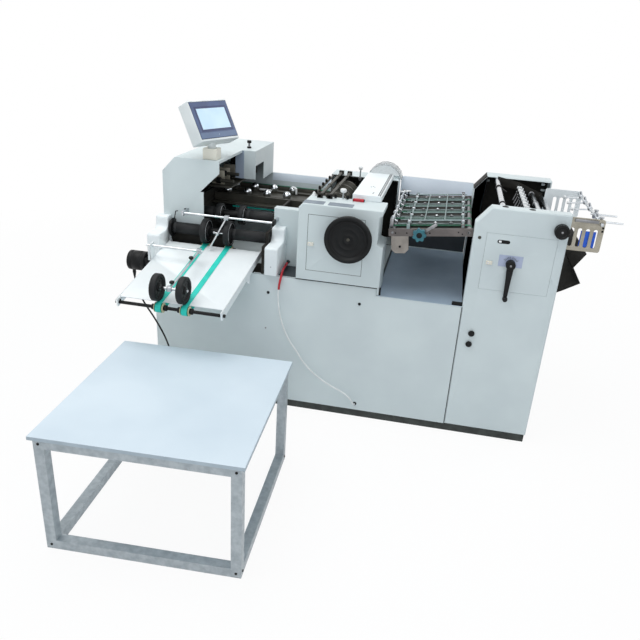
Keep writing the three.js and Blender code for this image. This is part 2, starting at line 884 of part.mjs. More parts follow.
function addMagazine() {
  const end = right + magazineReach;
  const lastBar = feederBarFromLeftShares[feederBarFromLeftShares.length - 1];
  const plateLeft = frameLeft + lastBar * endFrameWidth + feederBarRadius + seat;
  const shape = (drop) => {
    const plateShape = rounded(plateLeft, end, magazineBottom + drop, magazineTop - drop, magazineCorner);
    const slotBottom = magazineBottom + magazineSlotPitch / 2;
    for (let i = 0; i < magazineSlotCount; i += 1) {
      const x = end - magazineSlotPitch * (i + 1);
      const slot = rounded(x - magazineSlotWidth / 2, x + magazineSlotWidth / 2, slotBottom,
        slotBottom + magazineSlotHeight, magazineSlotWidth / 2 - seat);
      plateShape.holes.push(new THREE.Path(slot.getPoints(2).reverse()));
    }
    plateShape.holes.push(roundHole(end - stopShaftFromEnd, magazineTop - stopShaftDrop, stopShaftRadius));
    return plateShape;
  };
  const nearY = nearFrameInner + seat;
  const underBars = feederPlateThickness + seat;
  const farY = farFrameInner - seat - underBars - magazineFarInset - magazineThickness;
  add('magazine_plate_near', prism(shape(0), 'y', nearY + underBars,
    nearY + underBars + magazineThickness), beigePlate);
  add('magazine_plate_far', prism(shape(magazineFarDrop), 'y', farY, farY + magazineThickness), beigePlate);

  const scoopFoot = right + scoopThickness / 2 + seat;
  const path = [
    [right + scoopReach, scoopTop], [right + scoopNeck, scoopTop - scoopNeckDrop],
    [right + scoopReach, scoopTop - scoopLipDrop],
    [right + scoopFloorReach, scoopFloor], [scoopFoot, scoopFloor - scoopFloorReach / 2],
    [scoopFoot, rightPanelHeight - scoopFloorReach],
  ];
  add('magazine_scoop', prism(strip(path, scoopThickness), 'y', nearFrameInner + underBars + seat,
    farFrameInner - underBars - seat), blackPlastic);

  const shaftX = end - stopShaftFromEnd;
  const shaftZ = magazineTop - stopShaftDrop;
  const shaftFrom = nearY + underBars - stopShaftFromEnd;
  const rods = [0, 1].flatMap((i) => {
    const y = nearY + underBars + stopClampSize + i * stopRodSpread;
    const half = stopClampSize / 2;
    return [
      box(shaftX - half, shaftX + half, y - half, y + half, shaftZ - half, shaftZ + half),
      rod('x', stopRodRadius, shaftX - half, shaftX + stopRodReach, y, shaftZ + half / 2, 12),
    ];
  });
  const shaft = rod('y', stopShaftRadius, shaftFrom, farY + magazineThickness, shaftX, shaftZ);
  add('stop_rods', join(shaft, ...rods), chrome);
}

// Sloping feed table in its own turned frame: x along the slope, z square to it

const feedTable = new THREE.Group();
feedTable.position.set(feedRailLeft, 0, feedRailTop);
feedTable.rotation.y = -THREE.MathUtils.degToRad(feedSlope);
machine.add(feedTable);
const feedAngle = THREE.MathUtils.degToRad(feedSlope);
const feedRun = frameLeft - seat - feedRailLeft - feedRailHeight * Math.sin(feedAngle);
const feedLength = feedRun / Math.cos(feedAngle);
const nearRailY = front + feedRailSetback;
const farRailY = farFrameInner - seat - feedRailThickness;
const feedRollerEnds = [feedRollerFromEnd, feedLength - feedRollerFromEnd];
const feedRollerDrop = -feedRailHeight / 2;

function addFeedTable() {
  const hingeAt = feedLength - gridHingeFromEnd;
  const railShape = (bracket) => {
    const low = -feedRailHeight;
    const points = bracket ? [
      [0, low], [feedBracketLeft, low], [feedBracketLeft, low + feedBracketChamfer - feedBracketDrop],
      [feedBracketLeft + feedBracketChamfer, low - feedBracketDrop],
      [feedBracketLeft + feedBracketWidth - feedBracketChamfer, low - feedBracketDrop],
      [feedBracketLeft + feedBracketWidth, low + feedBracketChamfer - feedBracketDrop],
      [feedBracketLeft + feedBracketWidth, low], [feedLength, low],
    ] : [[0, low], [feedLength, low]];
    const ear = gridBlockLength / 2;
    const shape = outline([...points, [feedLength, 0], [hingeAt + ear, 0], [hingeAt + ear, gridRodRise + ear],
      [hingeAt - ear, gridRodRise + ear], [hingeAt - ear, 0], [0, 0]]);
    for (const s of feedRollerEnds) shape.holes.push(roundHole(s, feedRollerDrop, feedRollerJournal));
    shape.holes.push(roundHole(hingeAt, gridRodRise, gridRodRadius));
    if (bracket) {
      shape.holes.push(roundHole(starKnobFromStart, feedRollerDrop - starKnobStemRadius, starKnobStemRadius));
      shape.holes.push(roundHole(clampFromStart, feedRollerDrop + clampPinRadius, clampPinRadius));
    }
    return shape;
  };
  const boardFrom = feedRollerEnds[0] + feedRollerRadius + feedTapeThickness;
  const boardTo = feedRollerEnds[1] - feedRollerRadius - feedTapeThickness;
  const boardTop = feedRollerDrop + feedRollerRadius - feedBoardDrop;
  add('feed_table', join(
    prism(railShape(true), 'y', nearRailY, nearRailY + feedRailThickness),
    prism(railShape(false), 'y', farRailY, farRailY + feedRailThickness),
    box(boardFrom, boardTo, nearRailY + feedRailThickness / 2, farRailY + feedRailThickness / 2,
      boardTop - feedBoardThickness, boardTop),
  ), steel, feedTable);
  const rollerFrom = nearRailY + feedRailThickness + seat;
  const rollerTo = farRailY - seat;
  const roller = (s) => stepped([
    [nearRailY, rollerFrom, feedRollerJournal], [rollerFrom, rollerTo, feedRollerRadius],
    [rollerTo, farRailY + feedRailThickness, feedRollerJournal],
  ], 'y', s, feedRollerDrop);
  add('feed_roller', roller(feedRollerEnds[0]), steel, feedTable);
  add('tape_drive_roller', roller(feedRollerEnds[1]), steel, feedTable);
}

function tapePlaces() {
  const span = farRailY - nearRailY - feedRailThickness;
  return Array.from({ length: feedTapeCount }, (_, i) => (
    nearRailY + feedRailThickness + span * (i + 0.5) / feedTapeCount));
}

function addGrid() {
  const hingeAt = feedLength - gridHingeFromEnd;
  const block = gridBlockLength / 2;
  const farEdge = farRailY + feedRailThickness;
  const seats = [[nearRailY, nearRailY + feedRailThickness], [farRailY, farEdge]].map(([y0, y1]) => box(
    gridFrontFromStart - block, gridFrontFromStart + block, y0, y1, seat, gridRodRise + block));
  const stripTop = gridStripRise + gridStripThickness;
  const strips = tapePlaces().flatMap((y) => [
    box(gridStripStart, hingeAt + gridRodRadius, y - gridStripWidth / 2, y + gridStripWidth / 2,
      gridStripRise, stripTop),
    ...[gridFrontFromStart, hingeAt].map((s) => box(s - gridRodRadius, s + gridRodRadius,
      y - gridStripWidth / 2, y + gridStripWidth / 2, gridStripRise,
      gridRodRise + gridRodRadius + gridStripThickness)),
  ]);
  add('hold_down_grid', join(
    rod('y', gridRodRadius, nearRailY, farEdge, gridFrontFromStart, gridRodRise),
    rod('y', gridRodRadius, nearRailY, farEdge, hingeAt, gridRodRise),
    ...seats, ...strips,
  ), chrome, feedTable);
}

function addRailControls() {
  const knobFace = nearRailY - starKnobStandoff;
  const lobed = new THREE.Shape();
  const steps = starKnobLobes * 8;
  for (let i = 0; i < steps; i += 1) {
    const angle = (i / steps) * Math.PI * 2;
    const radius = starKnobRadius - starKnobLobeDepth * (1 - Math.cos(angle * starKnobLobes)) / 2;
    const [x, y] = [starKnobFromStart + radius * Math.cos(angle),
      feedRollerDrop - starKnobStemRadius + radius * Math.sin(angle)];
    if (i === 0) lobed.moveTo(x, y);
    else lobed.lineTo(x, y);
  }
  add('star_knob', join(
    prism(lobed, 'y', knobFace - starKnobThickness, knobFace),
    rod('y', starKnobStemRadius, knobFace - starKnobThickness / 2, nearRailY + feedRailThickness,
      starKnobFromStart, feedRollerDrop - starKnobStemRadius),
  ), knobTeal, feedTable);

  const angle = THREE.MathUtils.degToRad(clampLean);
  const pivotZ = feedRollerDrop + clampPinRadius;
  const arm = box(-clampWidth / 2, clampLength, -clampThickness, 0, -clampWidth / 2, clampWidth / 2)
    .rotateY(-angle).translate(clampFromStart, nearRailY - seat, pivotZ);
  add('clamp_lever', join(
    arm,
    rod('y', clampPinRadius, nearRailY - seat - clampThickness / 2, nearRailY + feedRailThickness / 2 - seat,
      clampFromStart, pivotZ),
  ), whitePaint, feedTable);
}

// Press unit

function nearHousingOutline() {
  const bottom = deckHeight + seat;
  const foot = pressRight + pressFootReach;
  const waist = pressRight - pressWaist;
  return [
    [pressLeft, bottom], [recessLeft + seat, bottom], [recessLeft + seat, pressFootBottom],
    [foot, pressFootBottom], [foot, pressFootTop], [waist, pressWaistBottom], [waist, pressWaistTop],
    [pressRight, pressWaistTop + pressWaist], [pressRight, pressTop],
    [pressLeft + pressChamfer, pressTop], [pressLeft, pressTop - pressChamfer],
  ];
}

function addPressHousings() {
  const bottom = deckHeight + seat;
  const waist = pressRight - pressWaist;
  const hollow = [
    [pressLeft, bottom], [waist, bottom], [waist, pressTop],
    [pressLeft + pressChamfer, pressTop], [pressLeft, pressTop - pressChamfer],
  ];
  add('press_near_housing', cut(
    plate(nearHousingOutline(), 'y', pressFront, pressBack, easing),
    plate(inset(hollow, pressWall), 'y', pressFront + pressWall, pressBack + overrun),
    drill('y', cylinderJournal, pressFront - overrun, pressFront + pressWall + overrun,
      pressAxisX, pressAxisHeight),
    drill('y', latchPinRadius, pressFront - overrun, pressFront + pressWall + overrun,
      pressLeft + pressLatchFromLeft, pressLatchHeight),
  ), panelPaint);
  add('press_latch', latch(pressLeft + pressLatchFromLeft, pressLatchHeight, pressFront, pressWall),
    creamPaint);

  const farOutline = [
    [farHousingLeft, bottom], [recessLeft - sheet, bottom],
    [recessLeft - sheet, pressTop], [farHousingLeft, pressTop],
  ];
  add('press_far_housing', cut(
    plate(farOutline, 'y', farHousingFront, back, easing),
    plate(inset(farOutline, pressWall), 'y', farHousingFront - overrun, back - pressWall),
  ), panelPaint);
}

function gear(x, z, from, to, turn) {
  const pitch = shaftDistance / 2 - seat;
  const shape = new THREE.Shape();
  const step = (Math.PI * 2) / gearTeeth;
  const [root, crown] = [pitch - gearToothHeight / 2 - seat, pitch + gearToothHeight / 2 - seat];
  const profileShares = [[-0.27, 0], [-0.13, 1], [0.13, 1], [0.27, 0]];
  for (let i = 0; i < gearTeeth; i += 1) {
    for (const [share, high] of profileShares) {
      const angle = (i + share) * step + turn;
      const radius = high ? crown : root;
      const [px, pz] = [x + radius * Math.cos(angle), z + radius * Math.sin(angle)];
      if (shape.curves.length === 0 && shape.currentPoint.x === 0) shape.moveTo(px, pz);
      else shape.lineTo(px, pz);
    }
  }
  return prism(shape, 'y', from, to);
}

function addPressWorks() {
  const gearFrom = pressFront + gearFromFront;
  const gearTo = gearFrom + gearWidth;
  const shaftEnd = back - pressWall - seat;
  const bodyFrom = pressBack + seat;
  const bodyTo = farHousingFront - seat;
  const meshAngle = Math.PI - lean;
  const toothStep = (Math.PI * 2) / gearTeeth;
  const driverTurn = meshAngle;
  const drivenTurn = meshAngle + Math.PI + toothStep / 2;
  add('impression_cylinder', join(
    stepped([
      [pressFront + pressWall + gearToothHeight, bodyFrom, cylinderJournal],
      [bodyFrom, bodyTo, cylinderRadius],
      [bodyTo, shaftEnd, cylinderJournal],
    ], 'y', pressAxisX, pressAxisHeight, 28),
    gear(pressAxisX, pressAxisHeight, gearFrom, gearTo, driverTurn),
  ), steel);

  const discs = [];
  const pitch = (bodyTo - bodyFrom - 2 * discMargin) / (discCount - 1);
  let cursor = pressFront + pressWall + seat;
  for (let i = 0; i < discCount; i += 1) {
    const middle = bodyFrom + discMargin + i * pitch;
    discs.push([cursor, middle - discWidth / 2, numberingShaftRadius]);
    discs.push([middle - discWidth / 2, middle + discWidth / 2, discRadius]);
    cursor = middle + discWidth / 2;
  }
  discs.push([cursor, shaftEnd, numberingShaftRadius]);
  add('numbering_shaft', join(
    stepped(discs, 'y', numberingX, numberingZ, 22),
    gear(numberingX, numberingZ, gearFrom, gearTo, drivenTurn),
  ), steel);

  const face = pressFront - wheelStandoff;
  const rimBack = face + wheelRimThickness;
  const webBack = face + wheelRimThickness / 2 + wheelWeb / 2;
  add('handwheel', turned([
    [0, face + wheelWeb / 2], [wheelHubRadius, face + wheelWeb / 2],
    [wheelRadius - wheelRimWidth, webBack - wheelWeb], [wheelRadius - wheelRimWidth / 2, face],
    [wheelRadius, face + wheelWeb / 2], [wheelRadius, rimBack - wheelWeb / 2],
    [wheelRadius - wheelRimWidth / 2, rimBack], [wheelRadius - wheelRimWidth, webBack],
    [wheelHubRadius, webBack], [wheelHubRadius, pressFront - seat], [cylinderJournal, pressFront - seat],
    [cylinderJournal, pressFront + pressWall + gearToothHeight - seat],
    [0, pressFront + pressWall + gearToothHeight - seat],
  ], 'y', pressAxisX, pressAxisHeight, 30), blackPlastic);
}

function addPressCovers() {
  const coverLeft = pressAxisX - coverLeftFromAxis;
  const coverRight = coverLeft + coverWidth;
  const from = pressBack - coverLap;
  const to = farHousingFront + coverLap;
  const floor = pressTop + seat;
  add('press_top_cover', cut(
    box(coverLeft, coverRight, from, to, floor, floor + coverHeight),
    box(coverLeft + coverWall, coverRight - coverWall, from + coverWall, to - coverWall,
      floor - overrun, floor + coverHeight - coverWall),
  ), panelPaint);

  const guardX = pressAxisX + guardFromAxis;
  const arc = new THREE.Shape();
  const low = Math.asin((pressTop + seat - guardAxisHeight) / guardRadius);
  const lowInner = Math.asin((pressTop + seat - guardAxisHeight) / (guardRadius - guardThickness));
  arc.absarc(guardX, guardAxisHeight, guardRadius, low, Math.PI - low, false);
  arc.absarc(guardX, guardAxisHeight, guardRadius - guardThickness, Math.PI - lowInner, lowInner, true);
  const guardBack = back - coverLap;
  const cap = new THREE.Shape();
  cap.absarc(guardX, guardAxisHeight, guardRadius, low, Math.PI - low, false);
  const guardFront = guardBack - guardDepth;
  add('rear_guard', join(
    prism(arc, 'y', guardFront, guardBack),
    prism(cap, 'y', guardBack - guardThickness, guardBack),
  ), clearGuard);

  const leverAt = pressAxisX - pressLeverFromAxis;
  const bossY = farHousingFront - seat;
  const bossZ = pressTop - pressLeverBossRadius;
  const tipZ = bossZ + pressLeverLength;
  add('press_lever', join(
    rod('y', pressLeverBossRadius, bossY - pressLeverBossRadius, bossY, leverAt, bossZ),
    rod('z', pressLeverRodRadius, bossZ, tipZ, leverAt, bossY - pressLeverBossRadius / 2, 12),
    ball(pressLeverBallRadius, leverAt, bossY - pressLeverBossRadius / 2, tipZ),
  ), chrome);
}

// Covers beside the folding unit

function addFoldCovers() {
  const floor = deckHeight + seat;
  const coverLeft = foldPlateRightX + foldPlateThickness + seat;
  const coverRight = pressLeft - seat;
  const coverBack = sideCoverFront + sideCoverDepth;
  add('side_cover', cut(
    plate([
      [coverLeft, floor], [coverRight, floor], [coverRight, sideCoverTop], [coverLeft, sideCoverTop],
    ], 'y', sideCoverFront, coverBack, easing),
    box(coverLeft + sideCoverWall, coverRight - sideCoverWall, sideCoverFront + sideCoverWall,
      coverBack + overrun, floor + sideCoverWall, sideCoverTop - sideCoverWall),
  ), panelPaint);

  const sShape = (backY) => {
    const shape = new THREE.Shape();
    const blockFront = backY - sCoverBlockDepth;
    shape.moveTo(sCoverFront, floor);
    shape.lineTo(backY, floor);
    shape.lineTo(backY, sCoverTop);
    shape.lineTo(blockFront + sCoverCorner, sCoverTop);
    shape.absarc(blockFront + sCoverCorner, sCoverTop - sCoverCorner, sCoverCorner,
      Math.PI / 2, Math.PI, false);
    shape.lineTo(blockFront, sCoverShelf + sCoverSweep);
    shape.absarc(blockFront - sCoverSweep, sCoverShelf + sCoverSweep, sCoverSweep,
      0, -Math.PI / 2, true);
    shape.lineTo(sCoverFront + sCoverCorner, sCoverShelf);
    shape.absarc(sCoverFront + sCoverCorner, sCoverShelf - sCoverCorner, sCoverCorner,
      Math.PI / 2, Math.PI, false);
    return shape;
  };
  add('s_cover_right', prism(sShape(sideCoverFront - seat), 'x', sCoverRightX, sCoverRightX + sCoverWidth,
    easing), whitePaint);
  const leftCover = prism(sShape(hoodFront - seat), 'x', sCoverLeftX, sCoverLeftX + sCoverWidth, easing);
  const inner = sCoverLeftX + sCoverWidth / 2;
  const outer = sCoverLeftX + sCoverWidth + overrun;
  add('s_cover_left', cut(leftCover,
    drill('x', rollerShaftRadius, inner, outer, frontRollerY, frontRollerZ),
    drill('x', driveShaftRadius, inner, outer, driveShaftY, driveShaftZ),
  ), whitePaint);
}

// Hood: a skin over the left end with a bridge at the back

function addHood() {
  const floor = deckHeight + seat;
  const rearBottom = foldBackHeight + seat;
  const frontPlate = [
    [hoodLeft, floor], [hoodInnerRight, floor], [hoodInnerRight, hoodTop - hoodNotchDrop],
    [hoodInnerRight - hoodNotchOut, hoodTop - hoodNotchDrop], [hoodRoofRight, hoodTop - hoodLipDrop],
    [hoodRoofRight, hoodTop], [hoodLeft + hoodChamferRun, hoodTop], [hoodLeft, hoodTop - hoodChamferDrop],
  ];
  const skin = [
    [hoodRoofRight, hoodTop - hoodWall / 2], [hoodLeft + hoodChamferRun, hoodTop - hoodWall / 2],
    [hoodLeft + hoodWall / 2, hoodTop - hoodChamferDrop], [hoodLeft + hoodWall / 2, floor],
  ];
  const rearPlate = [
    [hoodLeft, floor], [bridgeRight, floor], [bridgeRight, hoodTop],
    [hoodLeft + hoodChamferRun, hoodTop], [hoodLeft, hoodTop - hoodChamferDrop],
  ];
  const frontBottom = hoodTop - bridgeFrontDrop;
  const archFront = bridgeFront + hoodWall;
  const arch = rounded(archFront, archFront + archWidth, bridgeBottom - archRadius * 2,
    hoodTop - archDrop, archRadius);
  add('hood', cut(
    join(
      plate(frontPlate, 'y', hoodFront, hoodFront + hoodWall),
      prism(strip(skin, hoodWall), 'y', hoodFront, back),
      plate(rearPlate, 'y', back - hoodWall, back),
      box(hoodRoofRight - hoodWall, bridgeRight, bridgeFront, back, hoodTop - hoodWall, hoodTop),
      box(bridgeRight - hoodWall, bridgeRight, bridgeFront, back, rearBottom, hoodTop),
      box(bridgeLeft, bridgeRight, bridgeFront, bridgeFront + hoodWall, frontBottom, hoodTop),
      box(hoodRoofRight - hoodWall, hoodRoofRight, hoodFront, bridgeFront + hoodWall,
        hoodTop - roofLipDrop, hoodTop),
    ),
    box(bridgeRight - hoodWall - overrun, bridgeRight + overrun, bridgeFront - overrun,
      archFront + archRadius, rearBottom - overrun, frontBottom),
    prism(arch, 'x', bridgeRight - hoodWall - overrun, bridgeRight + overrun),
    drill('z', screwRadius, hoodTop - hoodWall - overrun, hoodTop + overrun,
      bridgeRight - screwFromRight, bridgeFront + screwFromFront),
  ), whitePaint);
  const screwX = bridgeRight - screwFromRight;
  const screwY = bridgeFront + screwFromFront;
  add('adjusting_screw', stepped([
    [hoodTop - screwHeight, hoodTop + seat, screwRadius],
    [hoodTop + seat, hoodTop + screwRadius, screwHeadRadius],
    [hoodTop + screwRadius, hoodTop + screwHeight - screwHeadRadius, screwRadius],
    [hoodTop + screwHeight - screwHeadRadius, hoodTop + screwHeight, screwRadius + screwTipStep],
  ], 'z', screwX, screwY, 18), blackPlastic);
}

// Folding unit: side plates, rollers, register table, ball rails and guide rods

function addFoldPlates() {
  const floor = deckHeight + seat;
  const through = (radius, x, y, z) => drill('x', radius, x - overrun,
    x + foldPlateThickness + overrun, y, z);
  const plateBack = back - hoodWall - seat;
  const leftPlate = [
    [hoodFront + hoodWall + seat, floor], [plateBack, floor],
    [plateBack, foldPlateLeftTop], [hoodFront + hoodWall + seat, foldPlateLeftTop],
  ];
  add('fold_plate_left', cut(
    plate(leftPlate, 'x', foldPlateLeftX, foldPlateLeftX + foldPlateThickness),
    through(rollerShaftRadius, foldPlateLeftX, rearRollerY, rearRollerZ),
  ), darkPaint);
  const stepY = (frontRollerY + rearRollerY) / 2;
  const toeTop = deckHeight + foldPlateToeRise;
  const rightPlate = [
    [foldPlateRightFront - foldPlateToe, floor], [foldPlateRightBack, floor],
    [foldPlateRightBack, foldPlateRightTop], [stepY + foldPlateStepRun / 2, foldPlateRightTop],
    [stepY - foldPlateStepRun / 2, foldPlateRightLow], [foldPlateRightFront, foldPlateRightLow],
    [foldPlateRightFront, toeTop], [foldPlateRightFront - foldPlateToe, toeTop],
  ];
  add('fold_plate_right', cut(
    plate(rightPlate, 'x', foldPlateRightX, foldPlateRightX + foldPlateThickness),
    through(rollerShaftRadius, foldPlateRightX, rearRollerY, rearRollerZ),
    through(rollerShaftRadius, foldPlateRightX, frontRollerY, frontRollerZ),
    through(driveShaftRadius, foldPlateRightX, driveShaftY, driveShaftZ),
  ), darkPaint);
}

function discRoller(from, to, sleeveFrom, sleeveTo, discs, discSize, y, z) {
  const half = rollerDiscWidth / 2;
  const [first, second] = discs;
  return stepped([
    [from, sleeveFrom, rollerShaftRadius], [sleeveFrom, first - half - sleeveMargin, rollerSleeveRadius],
    [first - half - sleeveMargin, first - half, rollerCoreRadius], [first - half, first + half, discSize],
    [first + half, second - half, rollerCoreRadius], [second - half, second + half, discSize],
    [second + half, second + half + sleeveMargin, rollerCoreRadius],
    [second + half + sleeveMargin, sleeveTo, rollerSleeveRadius], [sleeveTo, to, rollerShaftRadius],
  ], 'x', y, z, 20);
}

function addRollers() {
  const rightEnd = foldPlateRightX + foldPlateThickness;
  const sleeveEnd = foldPlateRightX - sleeveMargin;
  const coverInner = sCoverLeftX + sCoverWidth;
  add('front_roller', discRoller(coverInner - sCoverWidth / 2 + seat, rightEnd,
    coverInner + frontSleeveMargin, sleeveEnd,
    [beltLeftX, beltRightX], frontDiscRadius, frontRollerY, frontRollerZ), blackRubber);
  const shifted = [beltLeftX + rearDiscShift, beltRightX + rearDiscShift];
  const plateInner = foldPlateLeftX + foldPlateThickness;
  add('rear_roller', discRoller(foldPlateLeftX, rightEnd, plateInner + sleeveMargin, sleeveEnd,
    shifted, rearDiscRadius, rearRollerY, rearRollerZ), blackRubber);
}

function addRegister() {
  const from = foldPlateLeftX + foldPlateThickness + seat;
  const to = pressLeft - seat;
  const beamTo = farHousingLeft - seat;
  const floor = registerTop - registerThickness;
  const low = floor - railDrop;
  const high = registerTop + railRise;
  add('register_table', join(
    box(from, beamTo, registerFront, registerBack, floor, registerTop),
    box(from, to, registerFront, registerFront + railThickness, low, high),
    box(from, to, registerBack - railThickness, registerBack, low, high),
    box(beamTo - registerBeam, beamTo, pressBack + seat, registerBack, low, registerTop),
  ), darkPaint);

  const ballFloor = registerTop + seat;
  const barTop = ballFloor + ballBarHeight;
  const half = ballBarWidth / 2;
  const rows = [frontBallY, backBallY].flatMap((y) => {
    const pieces = [box(from, to, y - half, y + half, ballFloor, barTop)];
    for (let i = 0; i < ballCount; i += 1) {
      pieces.push(ball(ballRadius, ballFirstX + i * ballPitch, y, ballFloor + ballRadius));
    }
    return pieces;
  });
  const ends = [from, to - ballEndWidth].map((x) => box(x, x + ballEndWidth, frontBallY, backBallY,
    ballFloor, barTop));
  add('ball_rails', join(...rows, ...ends), steel);
}

function addGuideRods() {
  const half = guideClampSize / 2;
  const leftEnd = hoodLeft + guidePostFromHood;
  const rightEnd = sCoverRightX + guideClampSize;
  const top = [guideRodX, crossRodY, crossRodZ];
  const tip = [guideRodX - guideRodRun, crossRodY - guideRodReach, crossRodZ - guideRodDrop];
  const postBack = hoodFront - seat;
  add('guide_rods', join(
    rod('x', crossRodRadius, leftEnd, rightEnd, crossRodY, crossRodZ, 16),
    box(leftEnd, leftEnd + half, crossRodY - half, postBack, crossRodZ - half, crossRodZ + half),
    box(rightEnd - half, rightEnd, crossRodY - half, sideCoverFront - seat,
      crossRodZ - half, crossRodZ + half),
    box(guideRodX - half, guideRodX + half, crossRodY - half, crossRodY + half,
      crossRodZ - half, crossRodZ + half),
    between(top, tip, guideRodRadius),
  ), chrome);
}

// Delivery tray in its own turned frame: y up the slope, z square to it

const tray = new THREE.Group();
tray.position.set(0, trayShaftY, trayShaftZ);
tray.rotation.x = slope;
machine.add(tray);
const axleRise = beltOuter + seat + holdWheelRadius;

function addTray() {
  const top = beltInner - trayUnderBelt;
  const flangeShape = (tab) => {
    const low = -trayFlangeDrop;
    const tabPoints = tab ? [
      [trayTabAt - trayTabWidth / 2, low], [trayTabAt + trayTabWidth / 4, low - trayTabDrop],
      [trayTabAt + trayTabWidth / 2, low],
    ] : [];
    const shape = outline([
      [-trayFlangeDrop, low], ...tabPoints, [beltSpan + trayFlangeDrop, low],
      [beltSpan + trayFlangeDrop, top - overrun], [trayLength, top], [-trayFlangeDrop, top],
    ]);
    shape.holes.push(roundHole(0, 0, trayShaftRadius));
    shape.holes.push(roundHole(beltSpan, 0, driveShaftRadius));
    return shape;
  };
  const bracketFrom = armPivotAt - armBracketWidth / 2;
  const bracketTo = armPivotAt + armBracketWidth / 2;
  const bracket = [
    [bracketFrom, -trayFlangeDrop], [bracketTo, -trayFlangeDrop],
    [bracketTo, axleRise + armRodRadius * 2], [bracketFrom, axleRise + armRodRadius * 2],
  ];
  add('delivery_tray', join(
    box(trayLeft, trayRight, trayFrontGap, trayLength, top - traySheet, top),
    prism(flangeShape(false), 'x', trayLeft, trayLeft + trayFlange),
    prism(flangeShape(true), 'x', trayRight - trayFlange, trayRight),
    plate(bracket, 'x', trayLeft - armBracketThickness, trayLeft + seat),
    rod('x', armRodRadius, trayLeft - armRodOverhang, armX + armBlockSize / 2 + armRodRadius,
      armPivotAt, axleRise, 16),
  ), whitePaint, tray);
}

function beltShaft(name, along, from, to, shaftRadius, material) {
  const half = pulleyWidth / 2;
  const sections = [];
  let cursor = from;
  for (const x of [beltLeftX, beltRightX]) {
    sections.push([cursor, x - half - collarWidth, shaftRadius]);
    sections.push([x - half - collarWidth, x - half, collarRadius]);
    sections.push([x - half, x + half, pulleyRadius]);
    sections.push([x + half, x + half + collarWidth, collarRadius]);
    cursor = x + half + collarWidth;
  }
  sections.push([cursor, to, shaftRadius]);
  add(name, stepped(sections, 'x', along, 0, 18), material, tray);
}

function addBelts() {
  beltShaft('delivery_shaft', 0, trayLeft - trayShaftMargin, trayRight + trayShaftMargin,
    trayShaftRadius, blackPlastic);
  beltShaft('belt_drive_shaft', beltSpan, sCoverLeftX + sCoverWidth / 2 + seat,
    foldPlateRightX + foldPlateThickness,
    driveShaftRadius, steel);
  const belt = (x) => {
    const loop = stadium(beltSpan, beltOuter);
    loop.holes.push(new THREE.Path(stadium(beltSpan, beltInner).getPoints(9).reverse()));
    return prism(loop, 'x', x - beltWidth / 2, x + beltWidth / 2);
  };
  add('delivery_belt_left', belt(beltLeftX), beltGreen, tray);
  add('delivery_belt_right', belt(beltRightX), beltGreen, tray);
}

function addWheelArm() {
  const half = armBlockSize / 2;
  const wheelXs = [beltLeftX - holdWheelShift, beltRightX - holdWheelShift];
  const axleReach = holdWheelWidth / 2 + holdAxleRadius;
  const arm = join(
    box(armX - half, armX + half, armPivotAt - half, armPivotAt + half, axleRise - half, axleRise + half),
    box(armX - half, armX + half, holdWheelAt - half, holdWheelAt + half, axleRise - half, axleRise + half),
    rod('y', armRodRadius, holdWheelAt, armPivotAt, armX, axleRise, 16),
    rod('x', holdAxleRadius, wheelXs[0] - axleReach, wheelXs[1] + axleReach, holdWheelAt, axleRise, 16),
  );
  add('wheel_arm', cut(arm, drill('x', armRodRadius, armX - armBlockSize, armX + armBlockSize,
    armPivotAt, axleRise)), chrome, tray);
  const wheelHalf = holdWheelWidth / 2;
  ['hold_down_wheel_left', 'hold_down_wheel_right'].forEach((name, i) => {
    const x = wheelXs[i];
    const rim = holdWheelRadius - holdWheelWidth / 2;
    const web = holdWheelWidth / 4;
    add(name, turned([
      [holdAxleRadius + bore, x - wheelHalf], [holdAxleRadius * 2, x - wheelHalf],
      [holdAxleRadius * 2, x - web],
      [rim, x - web], [rim, x - wheelHalf], [holdWheelRadius - overrun, x - wheelHalf],
      [holdWheelRadius, x - wheelHalf + overrun], [holdWheelRadius, x + wheelHalf - overrun],
      [holdWheelRadius - overrun, x + wheelHalf], [rim, x + wheelHalf], [rim, x + web],
      [holdAxleRadius * 2, x + web], [holdAxleRadius * 2, x + wheelHalf],
      [holdAxleRadius + bore, x + wheelHalf],
      [holdAxleRadius + bore, x - wheelHalf],
    ], 'x', holdWheelAt, axleRise, 24), blackRubber, tray);
  });
}

// Delivery motor with its cable gland

function addMotor() {
  const flange = motorFlangeSize / 2;
  const motorRight = left - seat - motorNeck;
  const motorLeft = motorRight - motorLength;
  add('delivery_motor', join(
    turned([
      [0, motorLeft], [motorRadius - easing, motorLeft], [motorRadius, motorLeft + easing],
      [motorRadius, motorRight - easing], [motorRadius - easing, motorRight], [0, motorRight],
    ], 'x', motorY, motorZ, 24),
    box(motorRight - overrun, left - seat, motorY - flange, motorY + flange, motorZ - flange,
      Math.min(motorZ + flange, deckHeight - sheet)),
    rod('z', glandRadius, motorZ - motorRadius - glandLength + seat, motorZ,
      motorLeft + glandFromEnd, motorY, 16),
  ), blackPlastic);
}

function addCables() {
  const motorRoute = motorCableRoute.map(([x, y, z]) => [left + x, y, z]);
  add('motor_cable', tube(motorRoute, motorCableDiameter, 8, 44), blackPlastic);
  add('supply_cable', tube(supplyCableRoute, supplyCableDiameter, 8, 76), whiteCable);
}

// Touch screen

